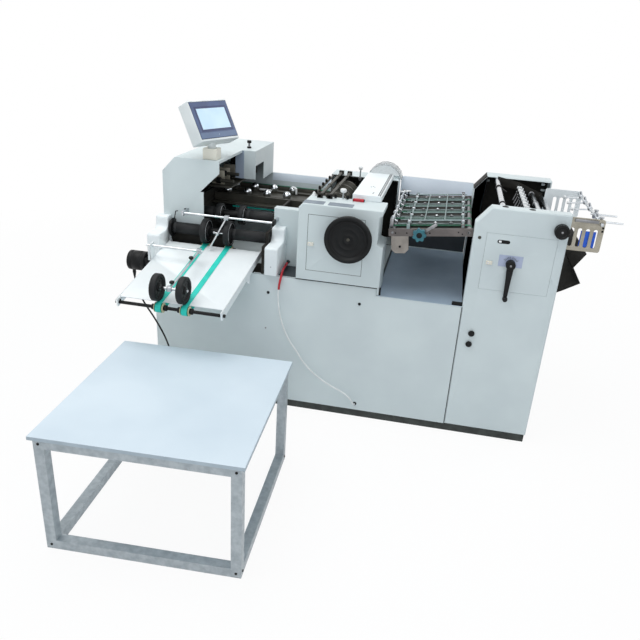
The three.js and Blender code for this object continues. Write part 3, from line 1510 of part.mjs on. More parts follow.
function addScreen() {
  const neckFront = hoodFront + neckSetback;
  const neckMiddleY = neckFront + neckDepth / 2;
  add('screen_neck', cut(
    plate([
      [neckX - neckWidth / 2, neckFront], [neckX + neckWidth / 2, neckFront],
      [neckX + neckWidth / 2, neckFront + neckDepth], [neckX - neckWidth / 2, neckFront + neckDepth],
    ], 'z', hoodTop + seat, neckTop),
    drill('z', neckStemRadius, hoodTop + neckStemLap, neckTop + overrun, neckX, neckMiddleY),
  ), creamPaint);

  const turn = new THREE.Matrix4().makeRotationZ(THREE.MathUtils.degToRad(screenYaw));
  const tilt = new THREE.Matrix4().makeRotationX(-THREE.MathUtils.degToRad(screenTilt));
  const caseShape = prism(rounded(-screenWidth / 2, screenWidth / 2, -screenHeight / 2,
    screenHeight / 2, screenEdge),
    'y', 0, screenDepth, overrun);
  caseShape.applyMatrix4(turn.multiply(tilt)).translate(screenX, screenY, screenZ);
  add('screen_housing', join(
    caseShape,
    rod('z', neckStemRadius, hoodTop + neckStemLap + seat, neckTop + screenStemReach, neckX, neckMiddleY),
  ), whitePaint);
}

// Receiving table in its own turned frame

function addTable() {
  const table = new THREE.Group();
  table.position.set(tableX, tableY, 0);
  table.rotation.z = THREE.MathUtils.degToRad(tableTurn);
  machine.add(table);
  const halfW = tableWidth / 2;
  const halfD = tableDepth / 2;
  const frameTop = tableHeight - tableTopThickness - seat;
  add('table_top', box(-halfW, halfW, -halfD, halfD, tableHeight - tableTopThickness, tableHeight),
    tablePaint, table);
  const w = halfW - tubeInset;
  const d = halfD - tubeInset;
  const t = tubeSize;
  const corners = [[-w, -d], [w - t, -d], [-w, d - t], [w - t, d - t]];
  const legs = corners.map(([x, y]) => box(x, x + t, y, y + t, 0, frameTop));
  const sides = [0, frameTop - t].flatMap((z) => [
    box(-w, -w + t, -d, d, z, z + t), box(w - t, w, -d, d, z, z + t), box(-w, w, -d, -d + t, z, z + t)]);
  const rearTop = box(-w, w, d - t, d, frameTop - t, frameTop);
  add('table_frame', join(...legs, ...sides, rearTop), galvanised, table);
}

addBase();
addEndFrames();
addDoor();
addControls();
addFeederBars();
addMagazine();
addFeedTable();
addGrid();
addRailControls();
addPressHousings();
addPressWorks();
addPressCovers();
addFoldCovers();
addHood();
addFoldPlates();
addRollers();
addRegister();
addGuideRods();
addTray();
addBelts();
addWheelArm();
addMotor();
addCables();
addScreen();
addTable();

export default machine;
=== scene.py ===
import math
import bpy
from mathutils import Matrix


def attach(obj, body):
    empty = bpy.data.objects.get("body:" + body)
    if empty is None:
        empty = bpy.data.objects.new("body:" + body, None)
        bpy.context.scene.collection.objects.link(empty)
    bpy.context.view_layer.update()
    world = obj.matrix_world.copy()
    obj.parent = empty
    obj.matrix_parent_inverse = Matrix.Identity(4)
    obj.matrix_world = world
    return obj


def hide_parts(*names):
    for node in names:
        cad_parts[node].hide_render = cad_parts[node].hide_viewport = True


bl_info = {
    "name": "Paper Folding Machine",
    "version": "x",
    "blender": (4, 5, 0),
    "location": "View3D > Sidebar > Folder",
    "description": "Finishes and fine parts of a floor-standing paper folding machine",
    "category": "Object",
}

from collections import namedtuple

import bmesh
import bpy
from bpy.props import FloatProperty, FloatVectorProperty, IntProperty, PointerProperty
from mathutils import Matrix, Vector

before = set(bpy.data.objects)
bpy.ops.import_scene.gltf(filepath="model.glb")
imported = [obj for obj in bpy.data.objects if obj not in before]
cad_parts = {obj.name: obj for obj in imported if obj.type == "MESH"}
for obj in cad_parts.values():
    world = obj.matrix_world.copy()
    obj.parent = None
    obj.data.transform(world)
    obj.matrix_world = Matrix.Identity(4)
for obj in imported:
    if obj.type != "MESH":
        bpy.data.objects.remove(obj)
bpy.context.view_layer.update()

# All shapes are written in millimetres; a finished piece is turned to metres once.
MM = 0.001
AXES = {"x": Vector((1, 0, 0)), "y": Vector((0, 1, 0)), "z": Vector((0, 0, 1))}
AXES.update({"-" + name: -way for name, way in AXES.items()})

# Two groups of pieces stand on a slope, and two more are turned.
FEED = Matrix.Translation((167, 0, 932)) @ Matrix.Rotation(math.radians(-6.4), 4, "Y")
TRAY = Matrix.Translation((0, -838, 634)) @ Matrix.Rotation(math.radians(10.1), 4, "X")
SCREEN = (
    Matrix.Translation((-672, -210, 1295))
    @ Matrix.Rotation(math.radians(66), 4, "Z")
    @ Matrix.Rotation(math.radians(-29), 4, "X")
)
TABLE = Matrix.Translation((-471, -1188, 0)) @ Matrix.Rotation(math.radians(2.3), 4, "Z")

# The front panel's face, the top of the press, the axis (x, z) that its cylinder and handwheel
# share, and the lines across the feed table that its tapes run on
FRONT = -405
PRESS_TOP = 1016
PRESS_AXIS = (11, 896)
TAPE_LINES = (-289.8, -161.5, -33.2, 95.2, 223.5)

MOTOR_CABLE = [
    (-1022, -360, 583), (-1022, -360, 566), (-1019, -363, 545), (-1006, -378, 518), (-982, -402, 491),
    (-953, -424, 466), (-927, -438, 441), (-904, -444, 414), (-886, -446, 388), (-869, -447, 360),
    (-853, -447, 330), (-838, -447, 298), (-826, -447, 265), (-815, -446, 232), (-805, -445, 200),
    (-797, -443, 170), (-790, -439, 147), (-784, -432, 129), (-781, -423, 119), (-781, -414, 116),
    (-781, -405.3, 116),
]
SUPPLY_CABLE = [
    (-294, -260.3, 692), (-294, -285, 692), (-293, -310, 692), (-292, -335, 692), (-291, -362, 691),
    (-289, -385, 689), (-288, -400, 684), (-288, -413, 672), (-290, -419, 656), (-293, -422, 636),
    (-295, -423, 612), (-296, -424, 589), (-294, -425, 550), (-288, -426, 510), (-279, -427, 472),
    (-266, -428, 434), (-250, -429, 397), (-228, -430, 360), (-199, -430, 321), (-165, -431, 272),
    (-119, -432, 225), (-67, -433, 188), (-14, -435, 161), (31, -437, 143), (61, -438, 124),
    (80, -436, 102), (89, -429, 84), (93, -419, 75), (94, -411, 72), (94, -405.3, 72),
]


def linear(code):
    """An sRGB hex value as the linear colour that the shaders take."""
    values = [int(code[at:at + 2], 16) / 255 for at in (1, 3, 5)]
    return tuple(v / 12.92 if v <= 0.04045 else ((v + 0.055) / 1.055) ** 2.4 for v in values) + (1.0,)


# A finish: slot of the record, main and second colour, metallic, roughness range,
# mottling and grain size in mm, bump height in mm, pattern, and further shader values.
Finish = namedtuple("Finish", "slot first second metallic rough mottle grain height pattern extra",
                    defaults=({},))
FINISHES = {
    # Epoxy powder coat baked on sheet steel: soft sheen, fine orange peel
    "powder_coated_steel": Finish("panel_paint", "#D0DBDC", "#C8D3D5",
                                  0.0, (0.38, 0.5), 260, 2.4, 0.05, "peel"),
    # The same coat in a whiter batch, on the tray, the covers and the housings
    "white_powder_coat": Finish("white_paint", "#F0F6F7", "#E8EFF1",
                                0.0, (0.36, 0.48), 220, 2.2, 0.05, "peel"),
    # Cream enamel, a little glossier and warmer
    "cream_enamel": Finish("cream_paint", "#EAE8DC", "#E1DED0", 0.0, (0.3, 0.42), 120, 3.0, 0.03, "peel"),
    # Melamine laminate: almost smooth, faint cloudy print
    "melamine_laminate": Finish("table_paint", "#D3E1EA", "#CBDAE4",
                                0.0, (0.3, 0.42), 320, 1.2, 0.02, "peel"),
    # Edge band of the same board, duller and slightly darker
    "edge_band": Finish("table_paint", "#AFBDC6", "#A5B3BC", 0.0, (0.45, 0.6), 60, 1.5, 0.03, "peel"),
    # Blue-grey on the sheet floor of the open bay: painted shade and painted reflection on a steel sheet
    "bay_shade_reflection": Finish("panel_paint", "#A9BCCD", "#9CB0C3", 0.0, (0.3, 0.45), 180, 2.4, 0.04, "peel"),
    # Brushed-on black enamel of the plinth, dusty in places
    "plinth_enamel": Finish("plinth_paint", "#232826", "#3A403D",
                            0.0, (0.55, 0.75), 45, 3.0, 0.12, "speck"),
    # Dark lacquer on the works, oily and uneven; the same dark is also painted shade inside the end frames,
    # the housings and the hood and under the folding rollers
    "lacquer_and_shade": Finish("dark_paint", "#171715", "#23211D", 0.0, (0.5, 0.72), 40, 2.5, 0.06, "speck",
                            {"Specular IOR Level": 0.2}),
    # Blackened steel of rails and beams, with a brown cast
    "blackened_steel": Finish("dark_paint", "#3A3A34", "#48463E",
                              0.4, (0.38, 0.52), 70, 1.6, 0.04, "brushed"),
    # Zinc-plated chromated plate with a beige cast
    "chromated_plate": Finish("beige_plate", "#B3AD9E", "#A09A8B",
                              0.25, (0.35, 0.5), 50, 1.8, 0.03, "speck"),
    # Ground steel of shafts and rails, marks run along the piece
    "ground_steel": Finish("grey_steel", "#8F9092", "#7D7E81",
                           0.9, (0.28, 0.42), 50, 1.0, 0.03, "brushed"),
    # Bright nickel plating, nearly a mirror, with fine wipe marks
    "nickel_plate": Finish("bright_steel", "#D2D6D9", "#BEC3C7",
                           1.0, (0.12, 0.24), 30, 0.8, 0.01, "brushed"),
    # Drawn aluminium of knobs and clamps
    "drawn_aluminium": Finish("bright_steel", "#C9CDD0", "#B6BABF",
                              0.85, (0.25, 0.4), 30, 0.9, 0.02, "brushed"),
    # Hot-dip zinc on square tube: grey spangle with rust freckles
    "galvanised_tube": Finish("galvanised", "#B4BCC0", "#9FA8AD",
                              0.35, (0.4, 0.6), 22, 7.0, 0.04, "spangle"),
    # Moulded phenolic resin: deep black, a soft shine; the same black is also painted shade in the two
    # holes of the near end frame's top and behind the door's slot
    "black_resin_and_shade": Finish("black_plastic", "#0C0D0E", "#131516",
                             0.0, (0.38, 0.52), 40, 1.4, 0.04, "peel",
                             {"Specular IOR Level": 0.2}),
    # Nitrile rubber of tyres and sleeves, matt with dust in the grain
    "nitrile_rubber": Finish("black_rubber", "#121416", "#1B1D1F",
                             0.0, (0.5, 0.7), 24, 1.2, 0.08, "speck",
                             {"Specular IOR Level": 0.3}),
    # Polyester belt, woven face coated green, 2.2 mm thread spacing so that it shows
    "woven_belt": Finish("belt_green", "#25D3C3", "#1CC2B2", 0.0, (0.5, 0.65), 60, 2.2, 0.12, "weave"),
    # Darker green of the feed tapes and pulleys
    "tape_green": Finish("belt_green", "#1E6F50", "#185E44", 0.0, (0.5, 0.65), 40, 2.0, 0.1, "weave"),
    # Glass-filled nylon knob in teal, fine moulded grain
    "teal_nylon": Finish("teal_plastic", "#2B6F7C", "#24616D", 0.0, (0.4, 0.52), 18, 1.0, 0.06, "peel"),
    # White ABS grips and sheaths, smooth
    "white_abs": Finish("white_plastic", "#ECEEEE", "#E2E5E5", 0.0, (0.3, 0.4), 40, 1.2, 0.02, "peel"),
    # White PVC sheath of the supply cable
    "white_pvc": Finish("white_plastic", "#E9ECEC", "#DEE2E2", 0.0, (0.35, 0.5), 30, 1.5, 0.03, "peel"),
    # Red heat-shrink sleeve
    "red_sleeve": Finish("white_plastic", "#C3182B", "#A81424", 0.0, (0.35, 0.5), 20, 1.5, 0.03, "peel"),
    # Milky acrylic guard: light goes through it, softened
    "milky_acrylic": Finish("clear_plastic", "#DFE6E9", "#D5DDE1",
                            0.0, (0.18, 0.3), 90, 2.0, 0.01, "peel",
                            {"Transmission Weight": 0.85, "IOR": 1.49}),
    # Membrane bezel of the screen, screened blue-grey
    "bezel_film": Finish("black_plastic", "#465982", "#3F4F73", 0.0, (0.35, 0.45), 60, 1.2, 0.01, "peel"),
    # Display glass lit from behind, pale sky blue
    "display_glass": Finish("table_paint", "#BBD9EF", "#C6E1F3", 0.0, (0.12, 0.2), 90, 2.0, 0.0, "peel",
                            {"Emission Color": linear("#C1DDF2"), "Emission Strength": 0.08}),
    # Anodised aluminium dial plate, blue-grey
    "anodised_plate": Finish("bright_steel", "#A9B4CC", "#9DA8C2",
                             0.3, (0.35, 0.45), 30, 0.8, 0.01, "brushed"),
    # Blue guide strips of the magazine
    "blue_strip": Finish("teal_plastic", "#0A5AD6", "#0950C0", 0.0, (0.35, 0.45), 30, 1.2, 0.01, "peel"),
    # Cream phenolic washers beside the pulleys
    "cream_washer": Finish("cream_paint", "#CFC9A6", "#BDB792", 0.0, (0.45, 0.6), 15, 1.2, 0.04, "peel"),
    # Navy film round the display
    "navy_film": Finish("black_plastic", "#2C3A66", "#27345C", 0.0, (0.35, 0.45), 60, 1.2, 0.01, "peel"),
    # Paler band of the bezel under the display
    "band_film": Finish("black_plastic", "#5F7494", "#586C8B", 0.0, (0.35, 0.45), 60, 1.2, 0.01, "peel"),
    # Neutral white enamel of the screen housing
    "housing_enamel": Finish("white_paint", "#E0E6E6", "#D6DDDE",
                             0.0, (0.3, 0.42), 120, 2.6, 0.03, "peel"),
    # Blue-grey on the left part of the bridge front: painted shade, as this part lies in one plane with the
    # rest of the front
    "painted_shade_coat": Finish("white_paint", "#9FACBD", "#94A2B4", 0.0, (0.36, 0.48), 160, 2.2, 0.05, "peel"),
    # Pale blue coat inside the rear casing, brighter than the panel paint: painted light on its upper inner
    # face
    "painted_light_enamel": Finish("panel_paint", "#E6F0FA", "#DCE7F2", 0.0, (0.32, 0.45), 200, 2.4, 0.04, "peel"),
    # Worn mild steel of the feed table's rail, with a brown cast
    "worn_steel": Finish("grey_steel", "#6E6866", "#5F5A58", 0.3, (0.42, 0.56), 60, 1.2, 0.03, "brushed"),
    # Zinc on the bracket under that rail, dulled to beige-grey
    "dull_zinc": Finish("beige_plate", "#97918A", "#86807A", 0.3, (0.42, 0.56), 40, 1.8, 0.03, "speck"),
    # Satin strips of the hold-down grid, with a green-grey cast
    "satin_strip": Finish("bright_steel", "#8B9C9C", "#778888",
                          0.45, (0.42, 0.56), 30, 0.9, 0.02, "brushed"),
    # Blue-grey patches laid on the top of the press housing
    "blue_grey_patch": Finish("panel_paint", "#78848F", "#6C7883", 0.0, (0.4, 0.52), 60, 2.0, 0.03, "peel"),
    # Dark slate, painted shade: at the back of the open bay under the feed table, on the deck's step beside
    # the bay and on the deck between the covers
    "slate_shade": Finish("panel_paint", "#2C343A", "#262D33", 0.0, (0.4, 0.55), 120, 2.4, 0.04, "peel"),
    # Dark strips in the gaps between panels: painted shade for the shadow inside the gaps
    "gap_shade": Finish("black_rubber", "#2A2E30", "#34393B", 0.0, (0.7, 0.85), 30, 2.0, 0.02, "peel"),
}


def add_node(tree, kind, values=None, links=None, **settings):
    """Add a node with its settings, its input values and the sockets linked to it."""
    node = tree.nodes.new(kind)
    for name, value in settings.items():
        setattr(node, name, value)
    for name, value in (values or {}).items():
        node.inputs[name].default_value = value
    for name, socket in (links or {}).items():
        tree.links.new(socket, node.inputs[name])
    return node


def blended(tree, amount, first, second):
    """A colour between two: each is a colour or a socket, and the amount is a socket."""
    mix = add_node(tree, "ShaderNodeMix", None, {0: amount}, data_type="RGBA")
    for at, colour in ((6, first), (7, second)):
        if isinstance(colour, bpy.types.NodeSocket):
            tree.links.new(colour, mix.inputs[at])
        else:
            mix.inputs[at].default_value = colour
    return mix.outputs[2]


def grain_of(tree, place, pattern, size):
    """The fine pattern of a finish, as a value from 0 to 1; size is in millimetres."""
    pitch = 1 / (size * MM)
    if pattern == "brushed":
        along = add_node(tree, "ShaderNodeMapping", {"Scale": (0.12, 1.0, 1.0)}, {"Vector": place})
        return add_node(tree, "ShaderNodeTexNoise", {"Scale": pitch, "Detail": 3.0},
                        {"Vector": along.outputs["Vector"]}).outputs["Fac"]
    if pattern == "weave":
        # One wave a thread: the wave texture turns 20 / (2 pi) times in each unit of its scale.
        scale = pitch * math.tau / 20
        waves = [add_node(tree, "ShaderNodeTexWave", {"Scale": scale}, {"Vector": place},
                          wave_type="BANDS", bands_direction=way).outputs["Fac"] for way in ("X", "Y")]
        return add_node(tree, "ShaderNodeMath", None, {0: waves[0], 1: waves[1]},
                        operation="MAXIMUM").outputs["Value"]
    if pattern == "spangle":
        cells = add_node(tree, "ShaderNodeTexVoronoi", {"Scale": pitch}, {"Vector": place})
        return add_node(tree, "ShaderNodeSeparateColor", None,
                        {"Color": cells.outputs["Color"]}).outputs["Red"]
    return add_node(tree, "ShaderNodeTexNoise", {"Scale": pitch, "Detail": 4.0, "Roughness": 0.6},
                    {"Vector": place}).outputs["Fac"]


def make_finish(name):
    """Build the named finish once, and hand it back after that."""
    if name in bpy.data.materials:
        return bpy.data.materials[name]
    finish = FINISHES[name]
    pattern = finish.pattern
    material = bpy.data.materials.new(name)
    material.use_nodes = True
    tree = material.node_tree
    shader = tree.nodes["Principled BSDF"]
    place = add_node(tree, "ShaderNodeTexCoord").outputs["Object"]
    cloud = add_node(tree, "ShaderNodeTexNoise", {"Scale": 1 / (finish.mottle * MM), "Detail": 3.0},
                     {"Vector": place})
    spread = add_node(tree, "ShaderNodeMapRange", {"From Min": 0.35, "From Max": 0.65},
                      {"Value": cloud.outputs["Fac"]})
    tone = blended(tree, spread.outputs["Result"], linear(finish.first), linear(finish.second))
    grain = grain_of(tree, place, pattern, finish.grain)
    if pattern in ("speck", "spangle", "weave"):
        # Dust, rust freckles or thread gaps where the pattern runs low
        freckle = {"speck": "#6B665C", "spangle": "#8A5A34", "weave": "#149C8C"}[pattern]
        source = grain
        low, high, at_low, at_high = 0.68, 0.8, 0.0, 0.5
        if pattern == "weave":
            low, high, at_low, at_high = 0.0, 0.35, 0.5, 0.0
        if pattern == "spangle":
            source = add_node(tree, "ShaderNodeTexNoise", {"Scale": 1 / (9 * MM), "Detail": 5.0},
                              {"Vector": place}).outputs["Fac"]
        amount = add_node(tree, "ShaderNodeMapRange",
                          {"From Min": low, "From Max": high, "To Min": at_low, "To Max": at_high},
                          {"Value": source})
        tone = blended(tree, amount.outputs["Result"], tone, linear(freckle))
    tree.links.new(tone, shader.inputs["Base Color"])
    dull, duller = finish.rough
    sheen = add_node(tree, "ShaderNodeMapRange", {"To Min": dull, "To Max": duller}, {"Value": grain})
    tree.links.new(sheen.outputs["Result"], shader.inputs["Roughness"])
    if finish.height:
        bump = add_node(tree, "ShaderNodeBump", {"Strength": 0.35, "Distance": finish.height * MM},
                        {"Height": grain})
        tree.links.new(bump.outputs["Normal"], shader.inputs["Normal"])
    shader.inputs["Metallic"].default_value = finish.metallic
    for socket, value in finish.extra.items():
        shader.inputs[socket].default_value = value
    return material


def seen_ray(tree):
    """One for a ray that the camera, a mirror or clear plastic sends out, else zero."""
    path = add_node(tree, "ShaderNodeLightPath").outputs
    seen = add_node(tree, "ShaderNodeMath", None, {0: path["Is Camera Ray"], 1: path["Is Glossy Ray"]},
                    operation="MAXIMUM")
    return add_node(tree, "ShaderNodeMath", None,
                    {0: seen.outputs["Value"], 1: path["Is Transmission Ray"]},
                    operation="MAXIMUM").outputs["Value"]


def axis_frame(origin, direction):
    """Place a shape drawn along Z at origin, pointing along direction."""
    way = AXES[direction] if isinstance(direction, str) else Vector(direction)
    return Matrix.Translation(origin) @ way.to_track_quat("Z", "Y").to_matrix().to_4x4()


def eased(bm, width, steps=2, angle=40):
    """Round the sharp edges of a shape."""
    sharp = [e for e in bm.edges if len(e.link_faces) == 2 and e.calc_face_angle(0) > math.radians(angle)
             and e.calc_length() > width * 3]
    if width and sharp:
        bmesh.ops.bevel(bm, geom=sharp, offset=width, offset_type="OFFSET", affect="EDGES",
                        segments=steps, profile=0.5, material=-1, clamp_overlap=True)
    return bm


def parted(bm, point, direction):
    """Cut the faces along a plane, so that the two sides can take different finishes."""
    everything = bm.verts[:] + bm.edges[:] + bm.faces[:]
    bmesh.ops.bisect_plane(bm, geom=everything, plane_co=point, plane_no=direction)


def turned(profile, origin=(0, 0, 0), direction="z", steps=32):
    """A solid turned from (radius, height) points that start and end on its axis."""
    bm = bmesh.new()
    verts = [bm.verts.new((radius, 0, height)) for radius, height in profile]
    edges = [bm.edges.new(pair) for pair in zip(verts, verts[1:])]
    bmesh.ops.spin(bm, geom=verts + edges, cent=(0, 0, 0), axis=(0, 0, 1), angle=math.tau,
                   steps=steps, use_merge=True)
    bmesh.ops.remove_doubles(bm, verts=bm.verts, dist=0.001)
    bmesh.ops.recalc_face_normals(bm, faces=bm.faces)
    bmesh.ops.transform(bm, matrix=axis_frame(origin, direction), verts=bm.verts)
    return bm


def mirrored(half, middle=0.0):
    """A whole profile: the given half, and the same points back with their heights mirrored."""
    return half + [(radius, 2 * middle - height) for radius, height in reversed(half)]


def rod(radius, start, direction, long, ease=0.8, steps=20):
    """A round rod of a given length, its ends chamfered."""
    profile = mirrored([(0, 0), (radius - ease, 0), (radius, ease)], long / 2)
    return turned(profile, start, direction, steps)


def bar(radius, start, end, ease=0.8, steps=20):
    """A round rod between two points."""
    way = Vector(end) - Vector(start)
    return rod(radius, start, way, way.length, ease, steps)


def disc(radius, rim, face, height, origin, direction, steps):
    """A low button: a rim of one height, rising to a face of a smaller radius, or to a point."""
    top = [(face, height)] if face else []
    profile = [(0, 0), (radius, 0), (radius, rim)] + top + [(0, height)]
    return turned(profile, origin, direction, steps)


def ring(major, minor, origin, direction, steps=40, sides=10):
    """A round ring: a small circle turned about an axis."""
    bm = bmesh.new()
    upright = Matrix.Translation((major, 0, 0)) @ Matrix.Rotation(math.pi / 2, 4, "X")
    bmesh.ops.create_circle(bm, segments=sides, radius=minor, matrix=upright)
    bmesh.ops.spin(bm, geom=bm.verts[:] + bm.edges[:], cent=(0, 0, 0), axis=(0, 0, 1), angle=math.tau,
                   steps=steps, use_merge=True)
    bmesh.ops.remove_doubles(bm, verts=bm.verts, dist=0.001)
    bmesh.ops.recalc_face_normals(bm, faces=bm.faces)
    bmesh.ops.transform(bm, matrix=axis_frame(origin, direction), verts=bm.verts)
    return bm


def thickened(bm, faces, way):
    """Turn faces into a solid by moving a copy of them along way."""
    grown = bmesh.ops.extrude_face_region(bm, geom=faces)["geom"]
    moved = [item for item in grown if isinstance(item, bmesh.types.BMVert)]
    bmesh.ops.translate(bm, vec=way, verts=moved)
    bmesh.ops.recalc_face_normals(bm, faces=bm.faces)


def slab(outline, axis, low, high, ease=0.5, steps=2):
    """An outline, drawn across an axis, thickened from low to high along it."""
    at = "xyz".index(axis)
    bm = bmesh.new()
    verts = [bm.verts.new(list(point[:at]) + [low] + list(point[at:])) for point in outline]
    thickened(bm, [bm.faces.new(verts)], AXES[axis] * (high - low))
    return eased(bm, ease, steps)


def block(low, high, ease=0.6, steps=2):
    """A block between two corners, its edges rounded."""
    outline = [(low[0], low[1]), (high[0], low[1]), (high[0], high[1]), (low[0], high[1])]
    return slab(outline, "z", low[2], high[2], ease, steps)


def ball(radius, centre, steps=24):
    """A ball with its poles up and down."""
    bm = bmesh.new()
    bmesh.ops.create_uvsphere(bm, u_segments=steps, v_segments=steps // 2, radius=radius,
                              matrix=Matrix.Translation(centre))
    return bm


def framed(low, high, width):
    """Corners of the four strips along the edge of an upright plate that faces the front."""
    (left, near, bottom), (right, far, top) = low, high
    for x, z in (((left, left + width), (bottom, top)), ((right - width, right), (bottom, top)),
                 ((left, right), (bottom, bottom + width)), ((left, right), (top - width, top))):
        yield (x[0], near, z[0]), (x[1], far, z[1])


def lobed(radius, depth, count, each=8):
    """Outline of a knob with lobes round its edge."""
    turns = [math.tau * n / (count * each) for n in range(count * each)]
    reaches = [radius - depth / 2 + depth / 2 * math.cos(count * turn) for turn in turns]
    return [(reach * math.cos(turn), reach * math.sin(turn)) for reach, turn in zip(reaches, turns)]


def round_about(radius, count, start=0.0):
    """Points spread evenly round a circle, as pairs."""
    turns = [start + math.tau * n / count for n in range(count)]
    return [(radius * math.cos(turn), radius * math.sin(turn)) for turn in turns]


def copied(node, ease=None, steps=2, angle=40):
    """The shape of a frame node in millimetres, merged, with its edges rounded."""
    bm = bmesh.new()
    bm.from_mesh(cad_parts[node].data)
    bmesh.ops.transform(bm, matrix=Matrix.Scale(1 / MM, 4), verts=bm.verts)
    bmesh.ops.remove_doubles(bm, verts=bm.verts, dist=0.005)
    bmesh.ops.dissolve_limit(bm, angle_limit=math.radians(0.8), verts=bm.verts, edges=bm.edges)
    if ease is None:
        ease = bpy.context.scene.folder_sizes.panel_edge / MM
    return eased(bm, ease, steps, angle)


class Piece:
    """One piece of the machine, put together from shapes with their finishes."""

    def __init__(self, name, body="machine", replaced=()):
        self.name, self.body, self.replaced = name, body, replaced
        self.bm = bmesh.new()
        self.finishes = []

    def add(self, finish, shape, place=None):
        """Take in a shape with one finish, moved to a place if it is drawn in another frame."""
        if place is not None:
            bmesh.ops.transform(shape, matrix=place, verts=shape.verts)
        if finish not in self.finishes:
            self.finishes.append(finish)
        for face in shape.faces:
            face.material_index = self.finishes.index(finish)
        holder = bpy.data.meshes.new(self.name)
        shape.to_mesh(holder)
        shape.free()
        self.bm.from_mesh(holder)
        bpy.data.meshes.remove(holder)
        return self

    def paint(self, finish, wanted):
        """Give a finish to the faces that wanted picks by centre and normal."""
        if finish not in self.finishes:
            self.finishes.append(finish)
        self.bm.normal_update()
        for face in self.bm.faces:
            if wanted(face.calc_center_median(), face.normal):
                face.material_index = self.finishes.index(finish)
        return self

    def done(self, angle=35):
        """Make the object, in metres; edges sharper than the angle stay sharp in its shading."""
        mesh = bpy.data.meshes.new(self.name)
        self.bm.to_mesh(mesh)
        self.bm.free()
        mesh.transform(Matrix.Scale(MM, 4))
        mesh.shade_smooth()
        mesh.set_sharp_from_angle(angle=math.radians(angle))
        for finish in self.finishes:
            mesh.materials.append(make_finish(finish))
        piece = bpy.data.objects.new(self.name, mesh)
        bpy.context.scene.collection.objects.link(piece)
        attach(piece, self.body)
        if self.replaced:
            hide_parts(*self.replaced)
        return piece


def dressed(node, finish, body="machine", ease=None, steps=2, angle=40):
    """A frame node's own shape with rounded edges and a finish, in its place."""
    piece = Piece(node + "_skin", body, (node,))
    return piece.add(finish, copied(node, ease, steps, angle))


def remade(node, tail, body=None):
    """A new piece that takes the place of a frame node and rides on its body."""
    return Piece(node + "_" + tail, body or node, (node,))


def grooved(radius, width, rim, web, hub):
    """Profile of a wheel: a rim, a thinner web and a hub of (radius, width), seen in section."""
    half, inner, lip = width / 2, radius - rim, 1.5
    hub_radius, hub_half = hub[0], hub[1] / 2
    return mirrored([(0, hub_half), (hub_radius - lip, hub_half), (hub_radius, hub_half - lip),
                     (hub_radius + lip, web / 2), (inner - lip, web / 2), (inner, half - lip),
                     (inner + lip, half), (radius - lip * 1.6, half), (radius, half - lip * 1.6)])


class FolderSizes(bpy.types.PropertyGroup):
    """Sizes of the fine parts that a user may change"""

    panel_edge: FloatProperty(name="Panel edge", description="Radius of the folded and cut sheet edges",
                              default=0.0016, min=0.0002, max=0.005, unit="LENGTH")
    wheel_steps: IntProperty(name="Handwheel steps", description="Faces round the handwheel",
                             default=96, min=24, max=192)
    tape_thickness: FloatProperty(name="Tape thickness", description="Thickness of the feed tapes",
                                  default=0.0014, min=0.0005, max=0.003, unit="LENGTH")
    gap_width: FloatProperty(name="Gap width", description="Width of the dark gaps between panels",
                             default=0.0022, min=0.001, max=0.006, unit="LENGTH")


class StudioSettings(bpy.types.PropertyGroup):
    """Camera and light of the studio"""

    focal_length: FloatProperty(name="Focal length", default=36.99, min=10, max=200,
                                description="Focal length of the camera in millimetres")
    yaw: FloatProperty(name="Yaw", description="Turn of the camera towards the feed end",
                       default=math.radians(9.022), unit="ROTATION")
    pitch: FloatProperty(name="Pitch", description="How far the camera looks down",
                         default=math.radians(24.248), unit="ROTATION")
    roll: FloatProperty(name="Roll", description="Turn of the camera about its own line of sight",
                        default=math.radians(4.060), unit="ROTATION")
    sky_strength: FloatProperty(name="Sky", description="Strength of the even studio light",
                                default=0.55, min=0, max=2)
    key_power: FloatProperty(name="Key lamp", description="Power of the large lamp above",
                             default=95, min=0, max=1000, unit="POWER")
    fill_power: FloatProperty(name="Fill lamp", description="Power of the soft lamp in front",
                              default=28, min=0, max=1000, unit="POWER")
    sky_colour: FloatVectorProperty(name="Sky colour", description="Colour of the even studio light",
                                    default=linear("#F4F7FA")[:3], subtype="COLOR", min=0, max=1)


class Step:
    """What every step of the build has in common"""

    bl_options = {"REGISTER", "UNDO"}

    def execute(self, context):
        self.make(context)
        return {"FINISHED"}


class FOLDER_OT_camera(Step, bpy.types.Operator):
    """Set the camera at the height and angle of a standing onlooker"""

    bl_idname = "folder.camera"
    bl_label = "Camera"

    def make(self, context):
        studio = context.scene.folder_studio
        data = bpy.data.cameras.new("onlooker")
        data.sensor_width = 36
        data.lens = studio.focal_length
        data.shift_x, data.shift_y = -0.0165, 0.0139
        data.clip_start, data.clip_end = 0.05, 60
        camera = bpy.data.objects.new("onlooker", data)
        context.scene.collection.objects.link(camera)
        ahead = Vector((-math.sin(studio.yaw) * math.cos(studio.pitch),
                        math.cos(studio.yaw) * math.cos(studio.pitch), -math.sin(studio.pitch)))
        side = Vector((math.cos(studio.yaw), math.sin(studio.yaw), 0))
        up = side.cross(ahead)
        turned_side = math.cos(studio.roll) * side + math.sin(studio.roll) * up
        turned_up = -math.sin(studio.roll) * side + math.cos(studio.roll) * up
        eye = Vector((384.36, -3127.10, 1685.98)) * MM
        camera.matrix_world = (Matrix.Translation(eye)
                               @ Matrix((turned_side, turned_up, -ahead)).transposed().to_4x4())
        context.scene.camera = camera
        context.scene.view_settings.view_transform = "Standard"


